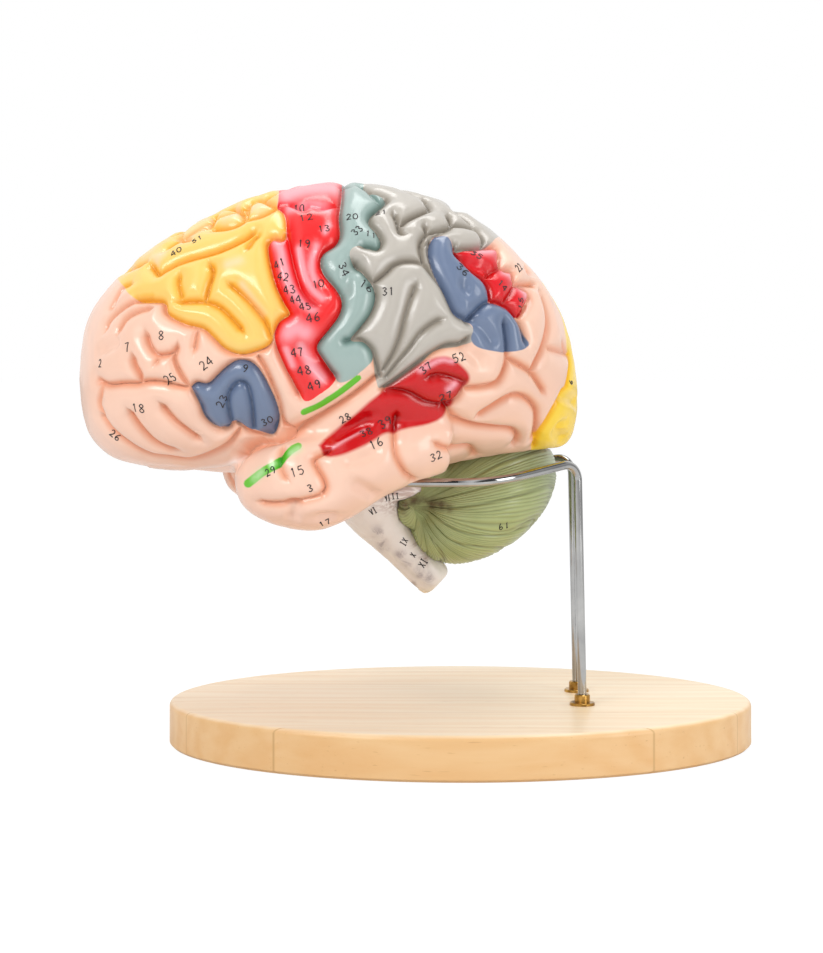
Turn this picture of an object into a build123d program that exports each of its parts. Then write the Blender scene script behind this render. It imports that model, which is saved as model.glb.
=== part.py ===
from build123d import *
import os
from math import cos, pi, radians, sin, sqrt, tan

# Teaching model of the human brain, about 1.75 times life size, on a wire cradle over an oval wooden
# board. Z is up and the origin is the middle of the board's underside. X runs from the forehead (-X)
# to the back of the head and the cradle's two uprights (+X), and the left half faces -Y. The two cast
# halves, the cerebellum and the brainstem plug together on metal pins and lift off by hand.

# Oval board
board_length = 340.0
board_width = 240.0
board_thickness = 25.0
board_edge_radius = 3.0
board_underside_bevel = 1.5

# Cradle: one bent wire, two uprights and an open oval loop
wire_diameter = 5.0
upright_x = 70.0
upright_spacing = 46.0
upright_lean = 1.2
lean_bend_radius = 100.0
loop_height = 156.0
loop_width = 120.0
loop_front_x = -80.0
loop_corner_radius = 58.0
neck_rise = 9.0
neck_radius = 9.0
shoulder_x = 18.0
shoulder_radius = 60.0

# Brass bushings, and washers and nuts in pockets under the board
bushing_flange_diameter = 14.5
bushing_flange_thickness = 1.6
bushing_barrel_diameter = 9.0
bushing_barrel_height = 4.6
bushing_shank_length = 10.0
wire_hole_clearance = 0.3
nut_pocket_diameter = 18.0
nut_pocket_depth = 9.0
washer_diameter = 15.0
washer_thickness = 1.2
nut_across_flats = 8.0
nut_thickness = 4.7
wire_end_recess = 1.5

# Brain as a whole, turned a little on the cradle
brain_length = 289.0
brain_width = 206.0
brain_height = 167.0
brain_front_x = -216.0
brain_base_drop = 0.5
brain_turn = 8.0
half_gap = 0.3

# Seats and clearances between the pieces
cradle_margin = 6.0
lift_gap = 0.4
nest_gap = 1.0
stem_gap = 0.4
pin_gap = 0.05

# Furrows of the cortex: V grooves that follow the surface
furrow_width = 8.0
furrow_depth = 6.0
furrow_lip = 2.0
furrow_step = 13.0
end_width_share = 0.4
end_depth_share = 0.25

# Cerebellum and its leaves
cerebellum_length = 100.0
cerebellum_thickness = 66.0
cerebellum_width = 88.0
cerebellum_tilt = 35.0
cerebellum_x = 17.0
cerebellum_drop = 15.5
leaf_count = 22
leaf_depth = 1.8
leaf_pole_shift = 26.0

# Pins
hemisphere_pin_diameter = 6.0
hemisphere_pin_hold = 14.0
hemisphere_pin_reach = 12.0
stem_pin_diameter = 5.0
stem_pin_hold = 12.0
stem_pin_reach = 9.0
cerebellum_pin_diameter = 5.0
cerebellum_pin_hold = 11.0
cerebellum_pin_reach = 8.0
socket_spare = 1.0
pin_chamfer = 0.8
hole_overrun = 3.0

wire_radius = wire_diameter / 2
loop_top = loop_height + wire_radius
seat = loop_top

# The brain's own frame: origin over the middle of the loop at the seat, turned about the vertical
loop_middle_x = (loop_front_x + upright_x) / 2
BRAIN = Location((loop_middle_x, 0, seat), (0, 0, brain_turn))

# Sections of one half, front to back: share of the length, then crown and floor as shares of the
# height, and half width as a share of the brain's half width
SECTIONS = [
    (0.014, 0.51, 0.17, 0.33), (0.045, 0.61, 0.09, 0.52), (0.09, 0.70, 0.05, 0.66),
    (0.165, 0.80, 0.03, 0.79), (0.26, 0.89, 0.02, 0.87), (0.38, 0.97, 0.0, 0.95),
    (0.52, 1.0, -0.02, 1.0), (0.66, 0.965, 0.01, 1.0), (0.76, 0.895, 0.05, 0.94),
    (0.845, 0.79, 0.065, 0.82), (0.915, 0.665, 0.07, 0.64), (0.96, 0.55, 0.08, 0.45),
    (0.986, 0.42, 0.13, 0.27),
]
FRONT_TIP = (0.0, 0.33)
BACK_TIP = (1.0, 0.27)

# Sections of the temporal lobe: share of the length, share of the half width, share of the height,
# then the two half axes as shares of the half width and of the height
TEMPORAL = [
    (0.305, 0.60, 0.01, 0.15, 0.07), (0.325, 0.62, 0.01, 0.20, 0.11), (0.37, 0.65, 0.015, 0.27, 0.155),
    (0.44, 0.67, 0.01, 0.30, 0.17), (0.50, 0.68, 0.04, 0.30, 0.17), (0.565, 0.68, 0.08, 0.28, 0.14),
    (0.63, 0.67, 0.11, 0.26, 0.12), (0.70, 0.64, 0.14, 0.24, 0.11),
]
TEMPORAL_TIP = (0.293, 0.59, 0.015)

# Brainstem, top to tip: forward place, drop, tilt of the section, half thickness and half width
STEM_SECTIONS = [
    (-49.0, 0.0, 0.0, 18.0, 24.0), (-48.0, -18.0, 25.0, 19.0, 24.0), (-37.0, -34.0, 45.0, 14.5, 18.0),
    (-20.5, -52.5, 45.0, 12.0, 14.5), (-8.5, -65.0, 45.0, 10.0, 11.5),
]
stem_tip_radius = 2.5

# Pin places: on the flat inner faces (share of the length, share of the height), and on the stem
HEMISPHERE_PINS = {"front": (0.2, 0.45), "top": (0.5, 0.8), "rear": (0.8, 0.5)}
STEM_PINS = {"front": (-58.0, 10.0), "rear": (-42.0, 10.0)}
cerebellum_pin_spread = 10.0
cerebellum_pin_drop = 14.0
stem_face_x = -31.5

# The side view on which the furrows were traced, of a brain this long, wide and high
TRACED = (289.0, 206.0, 167.0)
VIEW_EYE = (192.5, -1350.0, 100.5)
VIEW_FRONT = 216.0
VIEW_TURN = 8.0
VIEW_FOCAL = 2300.0
VIEW_MIDDLE = (411.5, 300.0)

SIDE_FURROWS = {
    "lateral_front": [(243, 462), (262, 450), (285, 436), (300, 430), (334, 411), (357, 395), (376, 379)],
    "lateral_back": [(378, 394), (403, 376), (420, 359), (438, 349), (465, 345), (476, 340)],
    "central": [(342, 203), (339, 213), (340, 230), (336, 241), (323, 251), (320, 262), (325, 275),
                (338, 291), (342, 304), (339, 316), (330, 329), (319, 343), (317, 351), (322, 361),
                (330, 374), (338, 384)],
    "precentral_top": [(285, 212), (288, 238), (291, 256), (296, 275), (304, 291), (319, 303)],
    "precentral_low": [(279, 322), (274, 333), (275, 345), (280, 359), (290, 380), (300, 398)],
    "frontal_upright": [(267, 238), (268, 256), (274, 281), (282, 300), (289, 314)],
    "postcentral_top": [(386, 202), (372, 214), (374, 228), (382, 242)],
    "postcentral": [(355, 254), (362, 268), (374, 283), (378, 296), (375, 312), (365, 323), (354, 335)],
    "postcentral_low": [(339, 346), (352, 350), (366, 355), (374, 367), (378, 380)],
    "parietal_arch": [(371, 284), (386, 275), (398, 267), (414, 262), (427, 266), (438, 276), (448, 296),
                      (453, 312), (462, 321), (471, 333)],
    "parietal_low": [(446, 319), (435, 324), (421, 334), (408, 354), (394, 371)],
    "angular": [(456, 246), (460, 256), (470, 266), (481, 277), (490, 289), (493, 302)],
    "angular_low": [(495, 303), (511, 310), (521, 320), (526, 334), (528, 347)],
    "occipital_top": [(504, 270), (514, 272), (520, 284), (528, 294), (529, 306), (522, 317)],
    "occipital_side": [(538, 283), (546, 299), (549, 320), (547, 341), (543, 361), (537, 375)],
    "temporal_back": [(511, 350), (509, 366), (501, 381), (486, 389), (466, 390)],
    "occipital_low": [(472, 418), (489, 407), (507, 402), (522, 406), (532, 417), (535, 433)],
    "temporal_middle": [(448, 410), (457, 420), (472, 426), (489, 428), (507, 430)],
    "temporal_cross": [(393, 411), (392, 432), (393, 446), (397, 462), (404, 475)],
    "temporal_pole": [(333, 449), (321, 456), (319, 468), (324, 481), (324, 493)],
    "frontal_edge": [(160, 301), (165, 313), (182, 323), (202, 329), (212, 338), (224, 350), (239, 356),
                     (255, 353), (271, 344)],
    "frontal_low": [(220, 277), (233, 291), (247, 309), (260, 321), (268, 331)],
    "frontal_middle": [(176, 302), (192, 301), (211, 305), (227, 317), (239, 329)],
    "frontal_top": [(158, 279), (169, 272), (192, 261), (215, 250), (239, 240), (252, 234)],
    "frontal_crown": [(152, 259), (169, 248), (188, 237), (207, 229)],
    "orbital_middle": [(107, 387), (121, 388), (137, 385), (156, 388), (176, 390)],
    "orbital_low": [(126, 413), (144, 429), (156, 443), (169, 451)],
    "opercular_top": [(190, 388), (205, 386), (216, 378), (225, 369), (236, 363), (248, 364), (257, 371),
                      (266, 387), (273, 404), (278, 421)],
    "opercular_low": [(196, 402), (204, 418), (219, 429), (233, 424), (246, 431), (262, 435)],
    "frontal_pole": [(101, 333), (112, 323), (128, 313), (150, 302)],
    "occipital_crown": [(447, 216), (452, 224), (464, 226), (481, 233)],
}

# Furrows over the crown: share of the length and share of the half width
CROWN_FURROWS = {
    "crown_pole": [(0.09, 0.10), (0.10, 0.25), (0.13, 0.40)],
    "crown_front": [(0.20, 0.05), (0.21, 0.20), (0.19, 0.35), (0.21, 0.50)],
    "crown_superior": [(0.16, 0.42), (0.24, 0.38), (0.31, 0.42), (0.38, 0.37)],
    "crown_precentral": [(0.36, 0.05), (0.39, 0.18), (0.41, 0.32)],
    "crown_central": [(0.50, 0.04), (0.53, 0.18), (0.51, 0.32), (0.52, 0.46)],
    "crown_postcentral": [(0.62, 0.05), (0.60, 0.20), (0.63, 0.34), (0.66, 0.46)],
    "crown_parietal": [(0.72, 0.12), (0.74, 0.26), (0.73, 0.42), (0.76, 0.55)],
    "crown_occipital": [(0.84, 0.06), (0.85, 0.22), (0.88, 0.36), (0.87, 0.52)],
}


def half_section(along, crown, floor, half_width):
    """An oval across one half, whose inner side passes the middle of the brain."""
    w = half_width * brain_width / 2
    high = crown * brain_height
    low = floor * brain_height
    plane = Plane(origin=(along * brain_length, -0.25 * w, (high + low) / 2), x_dir=(0, -1, 0), z_dir=(1, 0, 0))
    return plane * Ellipse(0.75 * w, (high - low) / 2)


def temporal_section(along, side, height, half_width, half_height):
    """An oval across the temporal lobe."""
    place = (along * brain_length, -side * brain_width / 2, height * brain_height)
    plane = Plane(origin=place, x_dir=(0, -1, 0), z_dir=(1, 0, 0))
    return plane * Ellipse(half_width * brain_width / 2, half_height * brain_height)


def smooth_half():
    """The left half without furrows, its front at x = 0 and its inner face at the middle plane."""
    tips = [Vertex(share * brain_length, -half_gap / 2 - 3, height * brain_height)
            for share, height in (FRONT_TIP, BACK_TIP)]
    dome = loft([tips[0]] + [half_section(*section) for section in SECTIONS] + [tips[1]])
    room = 2 * brain_length
    left_side = Pos(brain_length / 2, -half_gap / 2 - room / 2, 0) * Box(room, room, room)
    share, side, height = TEMPORAL_TIP
    tip = Vertex(share * brain_length, -side * brain_width / 2, height * brain_height)
    lobe = loft([tip] + [temporal_section(*section) for section in TEMPORAL])
    return (dome & left_side) + lobe


def traced_ray(u, v):
    """The line of sight through a point of the traced side view, in the half's own frame."""
    turn = radians(-VIEW_TURN)
    scale = [size / traced for size, traced in zip((brain_length, brain_width, brain_height), TRACED)]
    eye = Vector(VIEW_EYE[0] - VIEW_FRONT, VIEW_EYE[1], VIEW_EYE[2])
    sight = Vector((u - VIEW_MIDDLE[0]) / VIEW_FOCAL, 1, (VIEW_MIDDLE[1] - v) / VIEW_FOCAL)
    eye, sight = [Vector(p.X * cos(turn) - p.Y * sin(turn), p.X * sin(turn) + p.Y * cos(turn), p.Z)
                  for p in (eye, sight)]
    eye = eye + Vector(VIEW_FRONT, 0, 0)
    return Axis((eye.X * scale[0], eye.Y * scale[1], eye.Z * scale[2]),
                (sight.X * scale[0], sight.Y * scale[1], sight.Z * scale[2]))


def crown_ray(along, side):
    """A line straight down onto the crown."""
    return Axis((along * brain_length, -side * brain_width / 2, 3 * brain_height), (0, 0, -1))


def furrow(surface, rays):
    """A V-shaped cutter that follows the surface where the rays meet it, fading at both ends."""
    traced = [surface.find_intersection_points(ray)[0] for ray in rays]
    end = traced[-1][0]
    hits = traced[:1]
    for point, normal in traced[1:-1]:
        if (point - hits[-1][0]).length >= furrow_step <= (end - point).length:
            hits.append((point, normal))
    hits.append(traced[-1])
    points = [hit[0] for hit in hits]
    last = len(points) - 1
    sections = []
    for i, (point, normal) in enumerate(hits):
        heading = (points[min(i + 1, last)] - points[max(i - 1, 0)]).normalized()
        across = normal.cross(heading).normalized()
        ending = i in (0, last)
        depth = furrow_depth * (end_depth_share if ending else 1)
        half = furrow_width / 2 * (end_width_share if ending else 1) * (1 + furrow_lip / furrow_depth)
        lip = point + normal * furrow_lip
        sections.append(Face(Wire.make_polygon([point - normal * depth, lip + across * half, lip - across * half])))
    return loft(sections, ruled=True)


def cast_half(hollows):
    """The left half with its hollows and its furrows, in its own frame."""
    smooth = smooth_half()
    cutters = [furrow(smooth, [traced_ray(*p) for p in path]) for path in SIDE_FURROWS.values()]
    cutters += [furrow(smooth, [crown_ray(*p) for p in path]) for path in CROWN_FURROWS.values()]
    return smooth - hollows - cutters


def stem_solid(grown=0.0):
    """The brainstem, or the room it takes when grown on every side."""
    sections = []
    for x, z, tilt, half_thickness, half_width in STEM_SECTIONS:
        t = radians(tilt)
        plane = Plane(origin=(x, 0, z - lift_gap), x_dir=(cos(t), 0, sin(t)), z_dir=(sin(t), 0, -cos(t)))
        sections.append(plane * Ellipse(half_thickness + grown, half_width + grown))
    return loft(sections)


def cerebellum_place():
    """The middle of the cerebellum, tilted up towards the back."""
    return Pos(cerebellum_x, 0, -cerebellum_drop) * Rot(0, -cerebellum_tilt, 0)


def cerebellum_room():
    """The smooth hollow that the cerebellum needs, also while it is pulled back off its pins."""
    halves = [size / 2 + nest_gap for size in (cerebellum_length, cerebellum_width, cerebellum_thickness)]
    room = cerebellum_place() * scale(Sphere(1), by=tuple(halves))
    return [room, Pos(cerebellum_pin_reach, 0, 0) * room]


def cerebellum_solid():
    """Leaves as ridges that run round from pole to pole, lofted between notched sections."""
    sections = []
    steps = 12
    for i in range(1, steps):
        angle = pi * i / steps - pi / 2
        y = cerebellum_width / 2 * sin(angle)
        size = cos(angle) ** 0.8
        forward = leaf_pole_shift * (1 - size)
        points = []
        for k in range(2 * leaf_count):
            turn = pi * k / leaf_count
            notch = leaf_depth if k % 2 else 0.0
            long = (cerebellum_length / 2 - notch) * size
            thick = (cerebellum_thickness / 2 - notch) * size
            points.append((long * cos(turn) - forward * cos(radians(cerebellum_tilt)), y, thick * sin(turn)))
        sections.append(Face(Wire.make_polygon([Vector(*p) for p in points])))
    return cerebellum_place() * loft(sections, ruled=True)


def pin(diameter, length):
    """A pin along Z from the origin, with bevelled ends."""
    body = Pos(0, 0, length / 2) * Cylinder(diameter / 2, length)
    return chamfer(body.edges().filter_by(GeomType.CIRCLE), pin_chamfer)


def socket(diameter, length):
    """The hole that a pin of this diameter slides in."""
    return Pos(0, 0, length / 2) * Cylinder(diameter / 2 + pin_gap, length)


# The pins' places: each stands on the face between two pieces and points into the piece that lifts off
hemisphere_pin_places = {
    name: BRAIN * Pos(brain_front_x + along * brain_length, half_gap / 2, height * brain_height) * Rot(90, 0, 0)
    for name, (along, height) in HEMISPHERE_PINS.items()
}
stem_pin_places = {name: BRAIN * Pos(x, y, 0) * Rot(180, 0, 0) for name, (x, y) in STEM_PINS.items()}
cerebellum_pin_places = {
    name: BRAIN * Pos(stem_face_x, side * cerebellum_pin_spread, -cerebellum_pin_drop) * Rot(0, 90, 0)
    for name, side in {"left": -1, "right": 1}.items()
}


def pin_holes(places, diameter, hold):
    """Tight holes behind the face, for the end of each pin that stays put."""
    hole = Pos(0, 0, (hole_overrun - hold) / 2) * Cylinder(diameter / 2, hold + hole_overrun)
    return [place * hole for place in places.values()]


def sockets(places, diameter, reach):
    """Sliding holes beyond the face, a little deeper than the pins reach."""
    return [place * socket(diameter, reach + socket_spare) for place in places.values()]


def pins(places, diameter, hold, reach):
    """One pin for each place."""
    return {name: place * Pos(0, 0, -hold) * pin(diameter, hold + reach) for name, place in places.items()}


# Cradle wire: up from under the board, over two necks and round the loop in one bend after another
upright_y = upright_spacing / 2
loop_y = loop_width / 2
bushing_top = board_thickness + bushing_flange_thickness + bushing_barrel_height
neck_z = loop_height + neck_rise
neck_x = upright_x - (neck_z - bushing_top) * tan(radians(upright_lean))
half_route = [
    (upright_x, -upright_y, wire_end_recess), (upright_x, -upright_y, bushing_top),
    (neck_x, -upright_y, neck_z), (shoulder_x, -loop_y, loop_height), (loop_front_x, -loop_y, loop_height),
]
route = half_route + [(x, -y, z) for x, y, z in reversed(half_route)]
half_bends = [lean_bend_radius, neck_radius, shoulder_radius, loop_corner_radius]
wire_path = FilletPolyline(*route, radius=half_bends + half_bends[::-1])
wire_end = Plane(origin=route[0], z_dir=(0, 0, 1))
cradle_wire = sweep(wire_end * Circle(wire_radius), path=wire_path)

# Board, with a hole for each upright, a seat for each bushing and a pocket for each nut
base_board = extrude(Ellipse(board_length / 2, board_width / 2), board_thickness)
base_board = fillet(base_board.edges().sort_by(Axis.Z)[-1], board_edge_radius)
base_board = chamfer(base_board.edges().sort_by(Axis.Z)[0], board_underside_bevel)
washer_top = nut_pocket_depth
for y in (-upright_y, upright_y):
    base_board -= Pos(upright_x, y, nut_pocket_depth / 2) * Cylinder(nut_pocket_diameter / 2, nut_pocket_depth)
    base_board -= Pos(upright_x, y, board_thickness / 2) * Cylinder(wire_radius + wire_hole_clearance, board_thickness)
    base_board -= (Pos(upright_x, y, board_thickness - bushing_shank_length / 2)
                   * Cylinder(bushing_barrel_diameter / 2, bushing_shank_length))


def bushing(y):
    """A turned brass bushing, its shank in the board, its flange on it and its barrel above."""
    shank = Pos(0, 0, -bushing_shank_length / 2) * Cylinder(bushing_barrel_diameter / 2, bushing_shank_length)
    flange = Pos(0, 0, bushing_flange_thickness / 2) * Cylinder(bushing_flange_diameter / 2, bushing_flange_thickness)
    flange = chamfer(flange.edges().group_by(Axis.Z)[-1], 0.4)
    barrel_middle = bushing_flange_thickness + bushing_barrel_height / 2
    barrel = Pos(0, 0, barrel_middle) * Cylinder(bushing_barrel_diameter / 2, bushing_barrel_height)
    barrel = chamfer(barrel.edges().group_by(Axis.Z)[-1], 0.6)
    turned = shank + flange + barrel - Cylinder(wire_radius, 4 * bushing_shank_length)
    return Pos(upright_x, y, board_thickness) * turned


def washer(y):
    """A flat washer against the roof of its pocket."""
    ring = Cylinder(washer_diameter / 2, washer_thickness) - Cylinder(wire_radius + wire_hole_clearance, washer_thickness)
    return Pos(upright_x, y, washer_top - washer_thickness / 2) * ring


def nut(y):
    """A hexagon nut on the wire's end, under the washer."""
    hexagon = extrude(RegularPolygon(nut_across_flats / sqrt(3), 6), nut_thickness)
    hexagon -= Pos(0, 0, nut_thickness / 2) * Cylinder(wire_radius, 2 * nut_thickness)
    return Pos(upright_x, y, washer_top - washer_thickness - nut_thickness) * hexagon


# Room for the cradle under a half: the loop's outline with a margin, up to the seat. It is cut
# turned both ways, so that the two halves are mirror images.
room_edge = wire_radius + cradle_margin
room_depth = 60.0
room_back_y = upright_y + 3 * room_edge
loop_outline = FilletPolyline(
    (upright_x + room_edge, -room_back_y), (shoulder_x, -loop_y - room_edge),
    (loop_front_x - room_edge, -loop_y - room_edge), (loop_front_x - room_edge, loop_y + room_edge),
    (shoulder_x, loop_y + room_edge), (upright_x + room_edge, room_back_y),
    radius=[shoulder_radius, loop_corner_radius, loop_corner_radius, shoulder_radius])
loop_face = make_face([loop_outline, Line(loop_outline @ 1, loop_outline @ 0)])
loop_room = Pos(-loop_middle_x, 0, -room_depth) * extrude(loop_face, room_depth)
loop_rooms = [Rot(0, 0, turn) * loop_room for turn in (-brain_turn, brain_turn)]

# The halves: cast once, mirrored, then fitted with holes for the pins. The left half rides a little
# above the loop, on its pins.
from_cradle = Pos(-brain_front_x, 0, brain_base_drop)
half = cast_half([from_cradle * room for room in loop_rooms + cerebellum_room()])
HALF_PLACE = BRAIN * from_cradle.inverse()
left_hemisphere = Pos(0, 0, lift_gap) * HALF_PLACE * half
left_hemisphere -= sockets(hemisphere_pin_places, hemisphere_pin_diameter, hemisphere_pin_reach)
right_hemisphere = HALF_PLACE * mirror(half, about=Plane.XZ)
right_hemisphere -= pin_holes(hemisphere_pin_places, hemisphere_pin_diameter, hemisphere_pin_hold)
right_hemisphere -= pin_holes(stem_pin_places, stem_pin_diameter, stem_pin_hold)

# Brainstem, with sockets for the pins above it and tight holes for the cerebellum's pins
brainstem = fillet(stem_solid().edges().sort_by(Axis.Z)[0], stem_tip_radius)
brainstem = BRAIN * brainstem - sockets(stem_pin_places, stem_pin_diameter, stem_pin_reach)
brainstem -= pin_holes(cerebellum_pin_places, cerebellum_pin_diameter, cerebellum_pin_hold)

# Cerebellum, cut to sit against the brainstem
cerebellum = BRAIN * (cerebellum_solid() - stem_solid(stem_gap))
cerebellum -= sockets(cerebellum_pin_places, cerebellum_pin_diameter, cerebellum_pin_reach)

parts = {
    "base_board": base_board,
    "cradle_wire": cradle_wire,
    "left_hemisphere": left_hemisphere,
    "right_hemisphere": right_hemisphere,
    "brainstem": brainstem,
    "cerebellum": cerebellum,
}
for side, y in {"left": -upright_y, "right": upright_y}.items():
    parts[f"bushing_{side}"] = bushing(y)
    parts[f"washer_{side}"] = washer(y)
    parts[f"nut_{side}"] = nut(y)
for group, places, sizes in (
        ("hemisphere", hemisphere_pin_places, (hemisphere_pin_diameter, hemisphere_pin_hold, hemisphere_pin_reach)),
        ("brainstem", stem_pin_places, (stem_pin_diameter, stem_pin_hold, stem_pin_reach)),
        ("cerebellum", cerebellum_pin_places,
         (cerebellum_pin_diameter, cerebellum_pin_hold, cerebellum_pin_reach))):
    for name, piece in pins(places, *sizes).items():
        parts[f"{group}_pin_{name}"] = piece

os.makedirs("parts", exist_ok=True)
for name, piece in parts.items():
    export_step(piece, f"parts/{name}.step")
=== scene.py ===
import math

import bpy
import numpy as np
from mathutils import Matrix, Vector, noise
from mathutils.bvhtree import BVHTree


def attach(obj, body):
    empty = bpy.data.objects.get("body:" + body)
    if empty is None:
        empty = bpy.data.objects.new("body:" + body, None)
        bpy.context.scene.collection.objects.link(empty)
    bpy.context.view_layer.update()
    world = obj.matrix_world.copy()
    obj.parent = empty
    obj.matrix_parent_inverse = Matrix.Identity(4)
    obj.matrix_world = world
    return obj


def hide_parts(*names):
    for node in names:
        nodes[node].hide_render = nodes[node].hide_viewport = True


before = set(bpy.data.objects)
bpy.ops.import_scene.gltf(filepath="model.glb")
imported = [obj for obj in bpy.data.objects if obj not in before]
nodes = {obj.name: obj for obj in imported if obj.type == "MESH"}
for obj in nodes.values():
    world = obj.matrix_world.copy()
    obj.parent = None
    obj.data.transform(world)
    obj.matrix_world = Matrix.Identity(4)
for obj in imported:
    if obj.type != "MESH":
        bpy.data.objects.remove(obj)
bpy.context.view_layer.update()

# Camera: level, 1.35 m from the middle of the brain, on the side that the numbers are read from.
# The view reaches further down than up, so that the board is in it, with an 87 mm lens.
photo_height = 953
focal_px = 2300.0
eye = Vector((-0.0285, -1.350, 0.2585))
sight_px = (411.5, 300.0)
film_width = 36.0

camera_data = bpy.data.cameras.new("camera")
camera_data.sensor_width = film_width
camera_data.lens = focal_px / photo_height * film_width
camera_data.shift_y = (sight_px[1] - photo_height / 2) / photo_height
camera = bpy.data.objects.new("camera", camera_data)
camera.location = eye
camera.rotation_euler = (math.radians(90), 0, 0)
bpy.context.scene.collection.objects.link(camera)
bpy.context.scene.camera = camera
bpy.context.scene.view_settings.view_transform = "Standard"


# Studio: a white sweep, one large soft lamp high on the left, a fill on the right and one from above.
# The camera sees the sweep as white with a faint shadow; bright metal sees it with a few grey bands.
def soft_lamp(name, place, target, size, watts):
    data = bpy.data.lights.new(name, "AREA")
    data.shape = "RECTANGLE"
    data.size, data.size_y = size
    data.energy = watts
    lamp = bpy.data.objects.new(name, data)
    lamp.location = place
    lamp.rotation_euler = (Vector(target) - Vector(place)).to_track_quat("-Z", "Y").to_euler()
    bpy.context.scene.collection.objects.link(lamp)


brain_middle = (-0.07, 0.0, 0.24)
soft_lamp("key_lamp", (-0.95, -1.15, 1.15), brain_middle, (0.9, 0.5), 12.8)
soft_lamp("fill_lamp", (1.15, -0.95, 0.55), brain_middle, (0.5, 1.0), 6.5)
soft_lamp("top_lamp", (0.1, 0.25, 1.45), brain_middle, (1.0, 0.5), 7.0)


def new_material(name):
    """A node material with its node tree and its Principled shader."""
    material = bpy.data.materials.new(name)
    material.use_nodes = True
    return material, material.node_tree, material.node_tree.nodes["Principled BSDF"]


def colour(red, green, blue):
    """A colour given as it looks on a screen, 0 to 255, as the linear values that a shader takes."""
    return tuple(((c / 255 + 0.055) / 1.055) ** 2.4 for c in (red, green, blue)) + (1.0,)


def plug(node, *first, **named):
    """Fills a node's inputs, in order or by name, each with a value, a socket or another node's
    first output."""
    filled = [(node.inputs[i], value) for i, value in enumerate(first)]
    filled += [(node.inputs[name.replace("_", " ")], value) for name, value in named.items()]
    for socket, value in filled:
        if isinstance(value, bpy.types.Node):
            value = next(output for output in value.outputs if output.enabled)
        if isinstance(value, bpy.types.NodeSocket):
            node.id_data.links.new(value, socket)
        else:
            socket.default_value = value
    return node


def add(tree, kind, *first, **settings):
    """A new node. Settings in small letters are its own properties, the others are its inputs."""
    node = tree.nodes.new("ShaderNode" + kind)
    for name, value in settings.items():
        if name.islower():
            setattr(node, name, value)
    return plug(node, *first, **{name: value for name, value in settings.items() if not name.islower()})


def mix(tree, share, under, over, blend_type="MIX"):
    """One colour laid over another by a share."""
    return add(tree, "Mix", data_type="RGBA", blend_type=blend_type, Factor=share, A=under, B=over)


def soft_step(tree, value, **limits):
    """A value brought from one range to another with eased ends."""
    return add(tree, "MapRange", value, interpolation_type="SMOOTHSTEP", **limits)


def ramp(tree, share, low, high):
    """A colour ramp between two stops, each a place and a colour."""
    node = add(tree, "ValToRGB", share)
    for i, (place, tone) in enumerate((low, high)):
        node.color_ramp.elements[i].position = place
        node.color_ramp.elements[i].color = tone
    return node


world = bpy.data.worlds.new("studio")
world.use_nodes = True
bpy.context.scene.world = world
sky = world.node_tree
white = (1.0, 1.0, 1.0, 1.0)
grey_bands = ((0.18, 0.12), (0.27, 0.95), (0.36, 0.90), (0.42, 0.06), (0.52, 0.04), (0.57, 0.80),
              (0.63, 0.95), (0.69, 0.10), (0.80, 0.06), (0.88, 0.55))
room_light = plug(sky.nodes["Background"], Color=white, Strength=0.60)
way = add(sky, "SeparateXYZ", add(sky, "TexCoord").outputs["Generated"]).outputs
spread = add(sky, "MapRange", way["X"], From_Min=-1.0, From_Max=1.0)
bands = ramp(sky, spread, (0.0, (0.35, 0.35, 0.36, 1)), (1.0, (0.40, 0.40, 0.41, 1)))
for place, grey in grey_bands:
    stop = bands.color_ramp.elements.new(place)
    stop.color = (grey, grey, grey * 1.01, 1)
behind = soft_step(sky, way["Y"], From_Min=0.05, From_Max=0.45)
sweep_or_bands = mix(sky, behind, bands, (0.92, 0.92, 0.92, 1.0))
rays = add(sky, "LightPath").outputs
camera_or_glass = add(sky, "Math", rays["Is Camera Ray"], rays["Is Transmission Ray"], operation="MAXIMUM")
any_seen = add(sky, "Math", camera_or_glass, rays["Is Glossy Ray"], operation="MAXIMUM")
seen_colour = mix(sky, rays["Is Glossy Ray"], white, sweep_or_bands)
seen_sweep = add(sky, "Background", Color=seen_colour, Strength=1.0)
plug(sky.nodes["World Output"], add(sky, "MixShader", any_seen, room_light, seen_sweep))

bpy.ops.object.select_all(action="DESELECT")
bpy.ops.mesh.primitive_plane_add(size=12.0, location=(0, 0, -0.0003))
floor = bpy.context.object
floor.name = "floor"
floor_paint, floor_tree, floor_shader = new_material("pale_floor")
plug(floor_shader, Base_Color=(0.80, 0.80, 0.80, 1), Roughness=0.9, Specular_IOR_Level=0.0)
floor_glow = add(floor_tree, "Emission", Strength=1.12)
floor_seen = add(floor_tree, "LightPath").outputs["Is Camera Ray"]
floor_share = add(floor_tree, "Math", floor_seen, 0.82, operation="MULTIPLY")
plug(floor_tree.nodes["Material Output"], add(floor_tree, "MixShader", floor_share, floor_shader, floor_glow))
floor.data.materials.append(floor_paint)


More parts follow.
